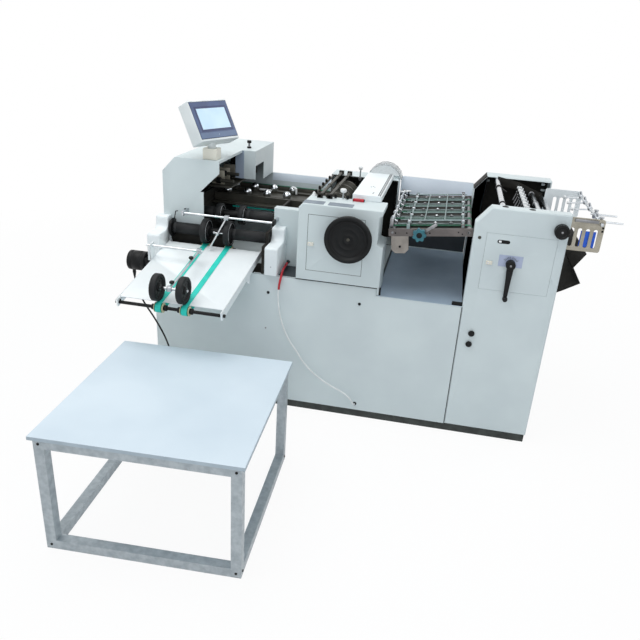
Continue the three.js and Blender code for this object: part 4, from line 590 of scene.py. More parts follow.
def cable(name, points, radius, finish):
    """A smooth round cable through points in millimetres."""
    curve = bpy.data.curves.new(name, "CURVE")
    curve.dimensions = "3D"
    spline = curve.splines.new("BEZIER")
    spline.bezier_points.add(len(points) - 1)
    for point, place in zip(spline.bezier_points, points):
        point.co = Vector(place) * MM
        point.handle_left_type = point.handle_right_type = "AUTO"
    curve.bevel_depth = radius * MM
    curve.bevel_resolution = 4
    curve.resolution_u = 6
    curve.use_fill_caps = True
    curve.materials.append(make_finish(finish))
    piece = bpy.data.objects.new(name, curve)
    bpy.context.scene.collection.objects.link(piece)
    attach(piece, "machine")
    return piece


class FOLDER_OT_cables(Step, bpy.types.Operator):
    """Lay the motor cable and the supply cable with their sleeves and grommets"""

    bl_idname = "folder.cables"
    bl_label = "Cables"

    def make(self, context):
        motor = cable("motor_lead", MOTOR_CABLE, 4, "nitrile_rubber")
        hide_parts("motor_cable")
        supply = cable("supply_lead", SUPPLY_CABLE, 3.5, "white_pvc")
        sleeve = cable("supply_sleeve", SUPPLY_CABLE[1:11], 5.2, "red_sleeve")
        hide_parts("supply_cable")
        reliefs = Piece("cable_reliefs")
        long_relief = [(0, 0), (8.5, 0), (8.5, 3), (7.2, 4), (6.6, 12), (5.6, 20), (4.6, 26), (0, 26)]
        short_relief = [(radius * 1.02, height * 0.84) for radius, height in long_relief]
        collar = [(0, 0), (9, 0), (9, 2), (7, 4), (5, 4.4), (0, 4.4)]
        reliefs.add("nitrile_rubber", turned(long_relief, (-294, -260.05, 692), "-y", 28))
        reliefs.add("nitrile_rubber", turned(short_relief, MOTOR_CABLE[0], "-z", 28))
        for x, _, z in (MOTOR_CABLE[-1], SUPPLY_CABLE[-1]):
            reliefs.add("nitrile_rubber", turned(collar, (x, FRONT - 0.05, z), "-y", 28))
        reliefs.done()


def screws(piece, finish, places, direction, radius=5, height=2.6):
    """Button-head screws at points on a face, standing along direction."""
    profile = [(0, 0), (radius, 0), (radius, height * 0.35), (radius * 0.8, height * 0.8),
               (radius * 0.45, height), (radius * 0.42, height * 0.55), (0, height * 0.55)]
    for place in places:
        piece.add(finish, turned(profile, place, direction, 18))


class FOLDER_OT_casing(Step, bpy.types.Operator):
    """Finish the plinth, the casing panels and the deck, with their gaps and screws"""

    bl_idname = "folder.casing"
    bl_label = "Casing"

    def make(self, context):
        gap = context.scene.folder_sizes.gap_width / MM
        dressed("base_plinth", "plinth_enamel", ease=2.5).done(20)
        dressed("front_panel", "powder_coated_steel").done(20)
        rear = dressed("rear_casing", "powder_coated_steel")
        bay_left, bay_right, bay_floor, bay_top = 147, 524, 640, 925
        for way, distance in (("z", bay_floor), ("z", bay_top), ("x", bay_left), ("x", bay_right)):
            parted(rear.bm, AXES[way] * distance, AXES[way])
        # Painted light: the upper inner face above the bay takes the paler coat
        rear.paint("painted_light_enamel", lambda at, way: way.y < -0.5 and at.z > bay_top)
        # Painted shade at the back of the bay, under the feed table
        rear.paint("slate_shade", lambda at, way: way.y < -0.5 and bay_left < at.x < bay_right
                   and bay_floor < at.z < bay_top + 5)
        rear.done(20)
        dressed("right_end_panel", "powder_coated_steel").done(20)
        deck = dressed("deck", "powder_coated_steel")
        # Painted shade and painted reflection on the floor sheet of the bay
        deck.paint("bay_shade_reflection", lambda at, way: at.x > bay_left + 1 and way.z > 0.5 and at.z < bay_floor)
        # Painted shade on the deck's step face beside the bay
        deck.paint("slate_shade", lambda at, way: way.x > 0.5 and 140 < at.x < 150)
        deck.done(20)
        trim = Piece("casing_trim")
        # Dark strips painted as shade in the gap beside the end frame, and in the gaps under the press and
        # under the folding unit
        for low, high, ease in (((523.7 - gap, FRONT - 0.4, 40), (524.2, -403, 632), 0.1),
                                ((-222, -411, 668.2), (155, -404.6, 671.9), 0.3),
                                ((-899, FRONT - 0.3, 667.9), (-222, -402, 669.2), 0.1)):
            trim.add("gap_shade", block(low, high, ease, 1))
        # Two brackets in the open bay's front corners
        for low, high, ease in (((478, -400, 635.3), (523.4, -392, 651), 1),
                                ((478, -400, 635.3), (523.4, -372, 639), 0.8),
                                ((156, -400, 635.3), (163, -384, 668), 0.8)):
            trim.add("black_resin_and_shade", block(low, high, ease))
        screws(trim, "black_resin_and_shade", [(-348, FRONT, 584), (75, FRONT, 585)], "-y", 7, 3.4)
        screws(trim, "ground_steel", [(-356, FRONT, 405)], "-y", 4, 1.6)
        for x in (-890, -560, -212, 140, 516):
            # Only the casing behind the press is tall enough for a fourth row.
            for z in (90, 350, 610, 860) if x > -300 else (90, 350, 610):
                trim.add("ground_steel", disc(5.4, 0.04, 4.8, 0.08, (x, 404.9, z), "y", 18))
        right_end = [(900, y, z) for y in (-320, 280) for z in (80, 380, 690)]
        left_end = [(-900, y, z) for y in (-380, 380) for z in (80, 350, 620)]
        screws(trim, "ground_steel", right_end, "x", 5, 2.4)
        screws(trim, "ground_steel", left_end, "-x", 5, 2.4)
        # Painted shade on the deck between the covers
        trim.add("slate_shade", block((-305, -404, 672.05), (-223, -261, 672.6), 0.1, 1))
        # Dark sheets on the deck and up the hood's front under the folding rollers: painted shade
        trim.add("lacquer_and_shade", block((-860, -400, 672.05), (-384, -276, 672.8), 0.1, 1))
        trim.add("lacquer_and_shade", block((-860.5, -282, 672.6), (-562, -276, 786), 0.6))
        trim.done()


class FOLDER_OT_end_frames(Step, bpy.types.Operator):
    """Finish the two end frames, with black discs painted as shade in the holes of the near frame's top,
    and their tabs and screws
    """

    bl_idname = "folder.end_frames"
    bl_label = "End frames"

    def make(self, context):
        near = dressed("near_end_frame", "powder_coated_steel", ease=2.4, steps=3)
        # Faces of the near frame that look towards the back are painted dark as shade
        near.paint("lacquer_and_shade", lambda at, way: way.y > 0.5 and at.y < -341)
        # The recess behind the door, painted dark as shade
        near.paint("lacquer_and_shade", lambda at, way: way.y < -0.5 and -404.5 < at.y < -380
                   and 577 < at.x < 863 and 727 < at.z < 975)
        near.done(20)
        far = dressed("far_end_frame", "powder_coated_steel", ease=2.4, steps=3)
        # The inside of the far frame is painted dark as shade
        far.paint("lacquer_and_shade", lambda at, way: at.y > 301.5 and 530.5 < at.x < 893.5 and at.z < 1073.5
                  and at.y < 400)
        far.done(20)
        trim = Piece("end_frame_trim")
        # Black discs in the two holes of the near frame's top: painted shade for the dark holes
        cap = [(0, 0), (13, 0), (13, 1.0), (11, 1.6), (9, 0.6), (0, 0.6)]
        for x, y in ((636, -368), (744, -372)):
            trim.add("black_resin_and_shade", turned(cap, (x, y, 1079.9), "z", 32))
        screws(trim, "blackened_steel", [(550, FRONT, 950)], "-y", 7, 3)
        for z in (932, 782):
            # Set back from the hinge line, so that the door swings clear of them
            trim.add("powder_coated_steel", rod(2.6, (868, FRONT - 0.6, z), "z", 22, 0.6, 14))
        for low, high in (((587, 386, 1034), (601, 399, 1044)), ((862, 386, 1042), (878, 399, 1052)),
                          ((864, 386, 1014), (884, 399, 1022))):
            trim.add("white_powder_coat", block(low, high, 1.2))
        trim.done()


def latch(node, outer, pin):
    """A small turning latch: its plate, the pin behind it and the pin's bright end."""
    x, y, z = outer
    piece = remade(node, "turn")
    piece.add("cream_enamel", block((x - 8, y, z - 8), (x + 18, y + 5.5, z + 8), 1.6, 3))
    piece.add("cream_enamel", rod(3, (x, y + 4.9, z), "y", pin, 0.4, 14))
    piece.add("nickel_plate", disc(4, 0.3, 0, 0.4, outer, "-y", 18))
    piece.done()


class FOLDER_OT_door(Step, bpy.types.Operator):
    """Hang the inspection door with its latch, slot and dial plate, and the speed lever"""

    bl_idname = "folder.door"
    bl_label = "Door and speed lever"

    def make(self, context):
        door = dressed("frame_door", "powder_coated_steel", "door", ease=1.0)
        door.add("anodised_plate", block((642, -406.1, 838), (740, FRONT - 0.05, 888), 0.5))
        pivot = Vector((692, -406.35, 853))
        for n in range(11):
            turn = math.radians(150 - 12 * n)
            inner, outer = 24, 31 if n % 5 else 35
            way = Vector((math.cos(turn), 0, math.sin(turn)))
            # A mark that would run over the dial plate's upper edge is left out.
            if (pivot + way * outer).z < 886:
                door.add("black_resin_and_shade", bar(0.8, pivot + way * inner, pivot + way * outer, 0.1, 6))
        # A black plate behind the door's slot: painted shade in the slot, behind the white pin
        door.add("black_resin_and_shade", block((623, -401.9, 932), (677, -400.6, 952), 0.2, 1))
        door.add("white_abs", rod(4.5, (630, -404, 942), "x", 11, 1.2, 16))
        door.done(20)
        # Dark strips behind the door's gap: painted shade in the gap
        gaps = Piece("door_gap")
        for low, high in framed((576.4, -399.6, 726.4), (863.6, -398.6, 975.6), 4.4):
            gaps.add("gap_shade", block(low, high, 0.1, 1))
        gaps.done()
        latch("door_latch", (600, -410.9, 848), 4)

        lever = remade("speed_lever", "crank")
        x, z = pivot.x, pivot.z
        hub = [(0, 0), (17, 0), (18.5, 1.5), (18.5, 4), (20, 6), (20, 30), (18, 33.4), (11, 35), (8, 34),
               (0, 34)]
        lever.add("black_resin_and_shade", turned(hub, (x, -406, z), "-y", 40))
        lever.add("ground_steel", disc(4.5, 1.2, 3, 1.8, (x, -440, z), "-y", 20))
        lever.add("black_resin_and_shade", rod(8, (x, -406.5, z), "y", 4.5, 0.4, 16))
        # Height over the pivot and half the width of the arm, from its top down
        arm = mirrored([(10, 16), (-60, 11.5), (-132, 8.6), (-146, 7.4)])
        outline = [(x + 0.4 + side, z + up) for up, side in arm]
        lever.add("black_resin_and_shade", slab(outline, "y", -433, -419, 4, 4))
        knob = mirrored([(0, -14), (7, -14), (10, -11), (11, -4)])
        lever.add("black_resin_and_shade", turned(knob, (693, -429, 703), "y", 28))
        lever.done()


class FOLDER_OT_controls(Step, bpy.types.Operator):
    """Fit the fluted feed knob and the two push buttons"""

    bl_idname = "folder.controls"
    bl_label = "Feed knob and buttons"

    def make(self, context):
        knob = remade("feed_knob", "grip")
        x, z = 867, 1015
        place = axis_frame((x, FRONT - 0.3, z), "-y")
        knob.add("black_resin_and_shade", slab(lobed(30, 1.6, 24, 6), "z", 4, 30, 1.2), place)
        face = [(0, 0), (29, 0), (29, 4), (28, 4.5), (28, 29), (27, 32), (24, 34), (21, 33), (18, 29.5),
                (0, 29)]
        boss = [(0, 28.6), (15, 28.6), (15, 30.4), (13, 31), (0, 31.4)]
        knob.add("black_resin_and_shade", turned(face, steps=48), place)
        knob.add("black_resin_and_shade", turned(boss, steps=36), place)
        knob.add("ground_steel", disc(4.5, 1.6, 3.6, 2, (0, 0, 30), "z", 20), place)
        knob.add("ground_steel", rod(7, (x, FRONT - 0.2, z), "y", 65.2, 0.8, 20))
        knob.done()
        for name, x, z in (("start_button", 581, 517), ("stop_button", 577, 465)):
            button = remade(name, "cap")
            # The head stands clear of the panel by its travel, and so doesn't sink in when pressed.
            cap = [(0, 5), (13.4, 5), (14, 5.6), (14, 8), (13, 10), (11, 10.9), (9, 10.2), (0, 9.4)]
            button.add("black_resin_and_shade", turned(cap, (x, FRONT - 0.1, z), "-y", 36))
            button.add("black_resin_and_shade", rod(7, (x, -410.6, z), "y", 31.3, 0.6, 20))
            button.done()


class FOLDER_OT_feeder_bars(Step, bpy.types.Operator):
    """Set the plated bars between the end frames, with their collars and clamps"""

    bl_idname = "folder.feeder_bars"
    bl_label = "Feeder bars"

    def make(self, context):
        # The axes of the four bars, as (x, z)
        places = [(631.9, 1061.6), (737.9, 1043.3), (806, 1015.2), (857.9, 1001.2)]
        bars = dressed("feeder_bars", "white_powder_coat", ease=0.8)
        bars.paint("lacquer_and_shade", lambda at, way: at.y > 290 or at.y < -330)
        for x, z in places:
            bars.add("nickel_plate", rod(12.3, (x, -339, z), "y", 638, 1, 32))
        x, z = places[0]
        bars.add("black_resin_and_shade", rod(16, (x, 92, z), "y", 20, 1.5, 28))
        bars.add("black_resin_and_shade", rod(15, (x, -250, z), "y", 12, 1.5, 28))
        clamp = [(632, 1052), (668, 1040), (672, 1050), (640, 1066)]
        bars.add("black_resin_and_shade", slab(clamp, "y", 96, 106, 1.5))
        for y in range(-215, 206, 70):
            bars.add("white_abs", block((727, y + 2, 1030), (750, y + 12, 1058), 1.6))
            bars.add("drawn_aluminium", rod(4, (758, y + 7, 1048), "-x", 6, 0.8, 14))
            bars.add("ground_steel", bar(2.6, (729, y + 7, 1026), (716, y + 7, 990), 0.6, 10))
        bars.add("drawn_aluminium", rod(4, (752.5, -230, 1030), "y", 460, 0.8, 14))
        x, z = places[2]
        for y in (-290, 40, 262):
            bars.add("ground_steel", rod(14.5, (x, y, z), "y", 11, 1.2, 28))
        bars.done()


class FOLDER_OT_magazine(Step, bpy.types.Operator):
    """Build up the paper magazine: slotted plates, scoop, stop rods and their clamps"""

    bl_idname = "folder.magazine"
    bl_label = "Paper magazine"

    def make(self, context):
        near = dressed("magazine_plate_near", "chromated_plate", ease=0.9)
        edge = [(923, 1043), (1018, 1043), (1018, 1055), (923, 1055)]
        near.add("ground_steel", slab(edge, "y", -339, -333.5, 0.8))
        near.add("blue_strip", block((957, -328.3, 926), (1018, -326.8, 1006), 0.3, 1))
        screws(near, "black_resin_and_shade", [(1039, -333.4, 1026), (1039, -333.4, 1012)], "-y", 4.5, 3)
        near.done()
        dressed("magazine_plate_far", "white_powder_coat", ease=0.9).done()
        dressed("magazine_scoop", "lacquer_and_shade", ease=0.8).done()
        rods = dressed("stop_rods", "drawn_aluminium", ease=0.8)
        for y in (-311.4, -184.4):
            rods.add("nickel_plate", rod(4.2, (1010, y, 1047.5), "x", 107.8, 0.8, 16))
            rods.add("drawn_aluminium", rod(7, (1030, y, 1052.5), "z", 11.5, 1, 18))
            nut = slab(lobed(10, 2, 8, 4), "z", 0, 6, 0.8)
            rods.add("drawn_aluminium", nut, Matrix.Translation((1030, y, 1062)))
        rods.add("nickel_plate", rod(7.2, (1030, -333, 1042), "y", 595, 0.8, 24))
        for y in (-250, -60, 70, 190):
            rods.add("drawn_aluminium", rod(11, (1030, y, 1042), "y", 16, 1.2, 24))
            rods.add("drawn_aluminium", bar(5, (1030, y + 8, 1050), (1022, y + 8, 1068), 1, 16))
            rods.add("nickel_plate", bar(3.4, (1030, y + 8, 1038), (960, y + 8, 1032), 0.8, 12))
            tip = [(0, 0), (6, 0), (7, 1), (7, 9), (5, 11), (0, 11)]
            rods.add("white_abs", turned(tip, (960, y + 8, 1032), (-1, 0, 0.1), 18))
        rods.done()


class FOLDER_OT_feed_table(Step, bpy.types.Operator):
    """Finish the sloping feed table with its tapes, rollers and rails"""

    bl_idname = "folder.feed_table"
    bl_label = "Feed table"

    def make(self, context):
        tape = context.scene.folder_sizes.tape_thickness / MM
        table = dressed("feed_table", "worn_steel", ease=1.0)
        sloped = FEED.inverted()
        # A cut under the rail, so that the bracket below it takes a finish of its own
        parted(table.bm, FEED @ Vector((0, 0, -32)), FEED.to_3x3() @ AXES["z"])
        table.paint("lacquer_and_shade", lambda at, way: -350 < at.y < 287 and (sloped @ at).z > -30)
        table.paint("dull_zinc", lambda at, way: (sloped @ at).z < -32.5)
        for s, z in ((30, -18), (78, -18), (176, -18), (296, -14), (312, -22), (338, -16)):
            table.add("black_resin_and_shade", disc(3.2, 1.6, 0, 2, FEED @ Vector((s, -366, z)), "-y", 12))
        table.add("black_resin_and_shade", disc(5, 3, 4, 4, FEED @ Vector((48, -366, -78)), "-y", 18))
        table.done(20)
        for name, s in (("feed_roller", 16), ("tape_drive_roller", 339.35)):
            roller = remade(name, "turned")
            at = FEED @ Vector((s, 0, -16))
            roller.add("ground_steel", rod(12, (at.x, -352, at.z), "y", 637.6, 1, 36))
            roller.add("ground_steel", rod(6, (at.x, -366, at.z), "y", 665.7, 0.8, 20))
            roller.done()
        tapes = Piece("feed_tapes")
        # Each tape is a closed loop round the two rollers: two half circles and the runs between them.
        run, width = 323.35, 22
        arc = [math.pi / 2 + math.pi * n / 12 for n in range(13)]
        for y in TAPE_LINES:
            bm = bmesh.new()
            edges = []
            for radius in (12.4, 12.4 + tape):
                points = [(radius * math.cos(turn), radius * math.sin(turn)) for turn in arc]
                points += [(run - s, -z) for s, z in points]
                loop = [bm.verts.new((16 + s, y - width / 2, z - 16)) for s, z in points]
                edges += [bm.edges.new(pair) for pair in zip(loop, loop[1:] + loop[:1])]
            bmesh.ops.bridge_loops(bm, edges=edges)
            thickened(bm, bm.faces[:], AXES["y"] * width)
            tapes.add("tape_green", bm, FEED)
        tapes.done()
        works = Piece("feed_head_works")
        works.add("nickel_plate", rod(5, (176, -338, 962), "y", 624, 0.8, 16))
        for y in (-338, 286):
            works.add("ground_steel", block((168, y - 6, 928), (184, y + 6, 970), 1.2))
        for y in range(-290, 231, 104):
            works.add("drawn_aluminium", rod(10, (176, y, 962), "y", 12, 1.2, 20))
            works.add("nickel_plate", bar(3.4, (178, y + 6, 960), (196, y + 6, 946), 0.6, 12))
            small_roller = mirrored([(0, 0), (6, 0), (6.6, 1)], 4.5)
            works.add("nickel_plate", turned(small_roller, (192, y + 1.5, 946), "y", 20))
        for x, y in ((168, 262), (184, 276), (200, 290)):
            works.add("black_resin_and_shade", rod(3.4, (x, y, 940), "z", 22, 0.6, 12))
            works.add("white_abs", rod(4.6, (x - 12, y, 963), "x", 24, 1.4, 14))
        works.done()


class FOLDER_OT_hold_down_grid(Step, bpy.types.Operator):
    """Lay the hinged grid of strips, wires, collars and balls over the feed table"""

    bl_idname = "folder.hold_down_grid"
    bl_label = "Hold-down grid"

    def make(self, context):
        grid = dressed("hold_down_grid", "satin_strip", "hold_down_grid", ease=0.5)
        cross_rods = (84, 313.35)
        for y in TAPE_LINES:
            for s in cross_rods:
                grid.add("drawn_aluminium", rod(9, (s, y - 7, 11), "y", 14, 1.2, 20), FEED)
                grid.add("black_resin_and_shade", rod(3.4, (s, y, 18), "z", 7, 0.8, 12), FEED)
            grid.add("satin_strip", rod(2.2, (44, y + 20, 17), "x", 286, 0.5, 10), FEED)
            for s in (130, 196, 262):
                finish = "nickel_plate" if s == 196 else "ground_steel"
                grid.add(finish, ball(6, (s, y, 8), 16), FEED)
                grid.add("ground_steel", ring(7.4, 1.4, (s, y, 8.4), "z", 20, 8), FEED)
        for y in (-225.6, -97.3, 31, 159.4):
            grid.add("satin_strip", block((58, y - 4, 12), (334, y + 4, 14), 0.5), FEED)
            grid.add("nickel_plate", bar(2, (84, y, 11), (58, y, 3), 0.4, 10), FEED)
        for s in (150, 236):
            grid.add("satin_strip", rod(3, (s, -300, 20), "y", 536, 0.6, 12), FEED)
        for y in (-300, 236):
            for s in cross_rods:
                grid.add("drawn_aluminium", block((s - 6, y - 4, 4), (s + 6, y + 4, 24), 1), FEED)
            grid.add("satin_strip", rod(3, (78, y, 20), "x", 242, 0.6, 12), FEED)
        grid.done()

        knob = remade("star_knob", "grip")
        x, z = 301.2, 925.1
        place = axis_frame((x, -374, z), "-y")
        cap = [(0, 17), (12, 17), (12, 18.8), (10, 20), (0, 20.4)]
        knob.add("teal_nylon", slab(lobed(30, 7, 7, 10), "z", 0, 18, 3, 3), place)
        knob.add("black_resin_and_shade", turned(cap, steps=28), place)
        knob.add("teal_nylon", turned([(0, -8), (11, -8), (13, 0), (0, 0.5)], steps=28), place)
        knob.add("ground_steel", rod(5, (x, -372, z), "y", 18, 0.6, 18))
        knob.done()
        lever = dressed("clamp_lever", "ground_steel", "clamp_lever", ease=0.8)
        grip = [(0, 0), (3.6, 0), (4.6, 2), (5.4, 30), (5, 40), (3, 44), (0, 44)]
        lever.add("white_abs", turned(grip, (334, -366, 946), (0.79, 0, 0.61), 20))
        lever.done()


class FOLDER_OT_press_housings(Step, bpy.types.Operator):
    """Finish the two housings of the press, with the side plate and its latch"""

    bl_idname = "folder.press_housings"
    bl_label = "Press housings"

    def make(self, context):
        gap = context.scene.folder_sizes.gap_width / MM * 0.8
        near = dressed("press_near_housing", "powder_coated_steel", ease=2.0, steps=3)
        # Faces of the near housing that look towards the back are painted dark as shade
        near.paint("lacquer_and_shade", lambda at, way: way.y > 0.5 and at.y < -246)
        # Dark strips in the gap round the side plate: painted shade
        for low, high in framed((-178, -414.12, 718), (71, -413, 971), gap):
            near.add("gap_shade", block(low, high, 0, 1))
        for left, right in ((-206, -116), (-98, 10)):
            near.add("blue_grey_patch", block((left, -408, PRESS_TOP), (right, -352, PRESS_TOP + 1.4), 0.6))
        near.add("red_sleeve", block((-6, -290, PRESS_TOP + 0.1), (40, -272, 1027), 1.6))
        for x in (-9, 38):
            near.add("black_resin_and_shade", block((x, -289, PRESS_TOP + 0.1), (x + 5, -273, 1026), 1))
        near.done(20)
        far = dressed("press_far_housing", "powder_coated_steel", ease=2.0, steps=3)
        # The far housing's face towards the press is painted dark as shade
        far.paint("lacquer_and_shade", lambda at, way: way.y < -0.5)
        far.done(20)
        latch("press_latch", (-166, -419.9, 840), 6)


class FOLDER_OT_press_works(Step, bpy.types.Operator):
    """Set the cylinder, the numbering shaft and the shafts across the press"""

    bl_idname = "folder.press_works"
    bl_label = "Press works"

    def make(self, context):
        cylinder = dressed("impression_cylinder", "ground_steel", "press_cylinder", ease=0.6)
        x, z = PRESS_AXIS
        cylinder.add("ground_steel", rod(59.3, (x, -243.6, z), "y", 503.2, 1.5, 64))
        cylinder.done()
        shaft = dressed("numbering_shaft", "blackened_steel", "numbering_shaft", ease=0.6)
        # Four discs sit on one axis, each with a ring on its near face.
        x, z = -107.68, 943.95
        rim = mirrored([(0, -8.2), (62, -8.2), (64, -6), (68.2, -5)])
        for y in (-133.7, -39.2, 55.2, 149.7):
            shaft.add("blackened_steel", turned(rim, (x, y, z), "y", 56))
            shaft.add("lacquer_and_shade", ring(40, 3, (x, y - 7.6, z), "y", 40))
        shaft.done()
        works = Piece("press_cross_works")
        # Three shafts cross the press, and two of them run in blocks and carry collars.
        for x, z, radius in ((-156, 1025, 7), (-196, 1009, 5), (-113, 1025, 7)):
            works.add("blackened_steel", rod(radius, (x, -292, z), "y", 592, 1, 20))
        for x in (-156, -113):
            for y in (-292, 268):
                works.add("lacquer_and_shade", block((x - 12, y, PRESS_TOP + 0.1), (x + 12, y + 18, 1036), 1.4))
            for y in (-60, 160):
                works.add("blackened_steel", rod(9.5, (x, y, 1025), "y", 12, 1.2, 24))
        # Small fittings on the near housing: oil cup, ball on its post, cone and two posts
        works.add("drawn_aluminium", rod(3, (-56, -265, PRESS_TOP + 0.1), "z", 27.9, 0.5, 12))
        cup = [(0, 0), (6, 0), (13, 4), (14, 8), (14, 15), (12, 18), (0, 19)]
        works.add("white_abs", turned(cup, (-56, -265, 1043), "z", 32))
        works.add("blackened_steel", ball(7, (-131, -262, 1026), 20))
        works.add("blackened_steel", rod(4, (-131, -262, PRESS_TOP + 0.1), "z", 5.9, 0.5, 12))
        cone = [(0, 0), (11, 0), (11, 2), (4, 18), (0, 19)]
        works.add("white_abs", turned(cone, (-188, -262, PRESS_TOP + 0.1), "z", 24))
        for x in (-90, -36):
            works.add("black_resin_and_shade", rod(6, (x, -262, PRESS_TOP + 0.1), "z", 17.9, 1.2, 16))
            works.add("blackened_steel", ball(7, (x, -262, 1036), 16))
        peg = [(0, 0), (5, 0), (6, 2), (6, 12), (4, 15), (0, 15)]
        for y in range(-180, 157, 84):
            works.add("black_resin_and_shade", turned(peg, (-196, y, 1012), "z", 16))
        works.done()


class FOLDER_OT_press_covers(Step, bpy.types.Operator):
    """Finish the lifting cover, the rear guard and the small press lever"""

    bl_idname = "folder.press_covers"
    bl_label = "Press covers"

    def make(self, context):
        cover = dressed("press_top_cover", "white_powder_coat", "press_top_cover", ease=2.2)
        top = 1042.2
        for x, y in ((52, -60), (60, -74), (44, -76), (70, -190), (70, -212)):
            cover.add("black_resin_and_shade", disc(3.4, 0.5, 0, 0.6, (x, y, top), "z", 14))
        # A dark strip painted as shade in the cover's seam
        cover.add("gap_shade", block((96, -250, top), (99.5, 268, top + 0.7), 0.2, 1))
        cover.add("ground_steel", rod(3, (106, -252, 1044), "y", 520, 0.6, 12))
        cover.done(20)
        dressed("rear_guard", "milky_acrylic", ease=0.8).done()
        lever = remade("press_lever", "turned")
        lever.add("ground_steel", rod(9, (-55, 251, 1007), "y", 9, 0.8, 24))
        lever.add("nickel_plate", rod(3.5, (-55, 255.4, 1007), "z", 49, 0.6, 16))
        lever.add("white_abs", ball(11, (-55, 255.2, 1063), 28))
        lever.done()


class FOLDER_OT_handwheel(Step, bpy.types.Operator):
    """Turn the dished black handwheel of the press"""

    bl_idname = "folder.handwheel"
    bl_label = "Handwheel"

    def make(self, context):
        wheel = remade("handwheel", "turned", "press_cylinder")
        x, z = PRESS_AXIS
        # Radius and height of the wheel's section: out over the hub, the web and the rim, and back
        face = [(0, 9), (14, 9), (16, 10.5), (18, 10.5), (20, 8), (28, 6.5), (42, 7), (44, 8.4),
                (46, 7.2), (70, 10), (72, 11.6), (74, 10.4), (80, 12), (84, 19), (88, 22.6), (93, 24),
                (98, 22.6), (101.4, 18.5), (102, 13), (101.4, 6), (98, 1.4), (93, 0), (88, 1.2), (84, 4),
                (78, -2), (30, -2), (20, -6), (20, -55.7), (0, -55.7)]
        steps = context.scene.folder_sizes.wheel_steps
        wheel.add("black_resin_and_shade", turned(face, (x, -470, z), "-y", steps))
        nut = [(0, 0), (7, 0), (7, 1.6), (5, 2.4), (0, 2.6)]
        wheel.add("blackened_steel", turned(nut, (x, -479, z), "-y", 28))
        wheel.done(50)


class FOLDER_OT_side_covers(Step, bpy.types.Operator):
    """Finish the covers at the press side and at both ends of the rollers"""

    bl_idname = "folder.side_covers"
    bl_label = "Side covers"

    def make(self, context):
        dressed("side_cover", "powder_coated_steel", ease=2.0, steps=3).done(20)
        for node in ("s_cover_right", "s_cover_left"):
            dressed(node, "white_powder_coat", ease=2.4, steps=4, angle=25).done(50)
        trim = Piece("cover_trim")
        screws(trim, "drawn_aluminium", [(-336, -420, 712), (-892, -420, 712)], "-y", 3.4, 1.2)
        trim.done()


class FOLDER_OT_hood(Step, bpy.types.Operator):
    """Finish the hood over the folding unit and what is seen inside it"""

    bl_idname = "folder.hood"
    bl_label = "Hood"

    def make(self, context):
        hood = dressed("hood", "powder_coated_steel", ease=2.2, steps=3)

        def dark(at, way):
            """Faces inside the hood, which are painted dark as shade, apart from the bridge's ends and
            edges that are seen lit.
            """
            within = -893 < at.x < -627 and -270 < at.y < 400 and at.z < 1122
            looks_in = way.x > 0.3 or way.z < -0.3 or way.y > 0.3 or way.x < -0.9
            right_edge = way.x > 0.5 and at.x > -630
            front_edge = way.y < -0.5 and at.y < 68 and at.x > -700
            rear_edge = way.y > 0.3 and at.y > 250 and at.x > -710
            return within and looks_in and not (right_edge or front_edge or rear_edge)

        # Painted shade inside the hood
        hood.paint("lacquer_and_shade", dark)
        # Painted shade on the left part of the bridge front
        hood.add("painted_shade_coat", block((-660.8, 65.4, 988.4), (-617, 65.98, 1124), 0.1, 1))
        hood.done(20)
        inside = Piece("hood_works")
        inside.add("blackened_steel", block((-766, -60, 960), (-640, 380, 968), 1))
        inside.add("lacquer_and_shade", block((-766, 300, 968), (-640, 380, 1080), 2))
        for y, z, radius in ((-40, 990, 9), (40, 1010, 7), (120, 985, 9), (210, 1020, 7)):
            inside.add("blackened_steel", rod(radius, (-766, y, z), "x", 132, 1, 20))
            inside.add("black_resin_and_shade", rod(radius + 6, (-720, y, z), "x", 20, 1.2, 24))
        for y in (-20, 60, 150):
            inside.add("chromated_plate", block((-752, y, 968), (-690, y + 8, 1034), 1))
        inside.done()
        screw = remade("adjusting_screw", "turned")
        x, y = -614, 141
        head = [(0, 0), (9, 0), (10.8, 1.4), (10.8, 11), (9, 13), (0, 13)]
        screw.add("black_resin_and_shade", turned(head, (x, y, 1152), "z", 28))
        screw.add("ground_steel", rod(5, (x, y, 1089), "z", 64, 0.5, 20))
        collar = slab(lobed(10.8, 1.2, 16, 5), "z", 0, 7, 0.6)
        screw.add("black_resin_and_shade", collar, Matrix.Translation((x, y, 1127.4)))
        screw.done()


class FOLDER_OT_screen(Step, bpy.types.Operator):
    """Finish the touch screen, its bezel and its neck"""

    bl_idname = "folder.screen"
    bl_label = "Touch screen"

    def make(self, context):
        dressed("screen_neck", "cream_enamel", ease=2.4, steps=3).done(20)
        screen = dressed("screen_housing", "housing_enamel", "screen", ease=3, steps=3)
        # The films on its face, from the lowest up: corners of each, drawn in the screen's own frame
        # The lowest film is a dark outline round the bezel, painted shade in its gap
        for finish, low, high in (
                ("gap_shade", (-116, -0.5, -81.4), (116, 0, 86)),
                ("bezel_film", (-114.5, -0.9, -80), (114.5, -0.2, 84.5)),
                ("band_film", (-112, -1.2, -78), (112, 0.2, -54)),
                ("navy_film", (-97, -1.2, -49.5), (101, 0.2, 64)),
                ("display_glass", (-87, -1.6, -39.4), (91, 0.5, 54))):
            screen.add(finish, block(low, high, 0.2, 1), SCREEN)
        screen.add("anodised_plate", disc(2.2, 0.5, 0, 0.6, (0, -1.2, -66), "-y", 14), SCREEN)
        # Four dark stripes on the back of the housing, painted as shade
        for z in (-40, -20, 0, 20):
            screen.add("gap_shade", block((-60, 65.7, z), (60, 66.3, z + 5), 0.2, 1), SCREEN)
        screen.done(20)


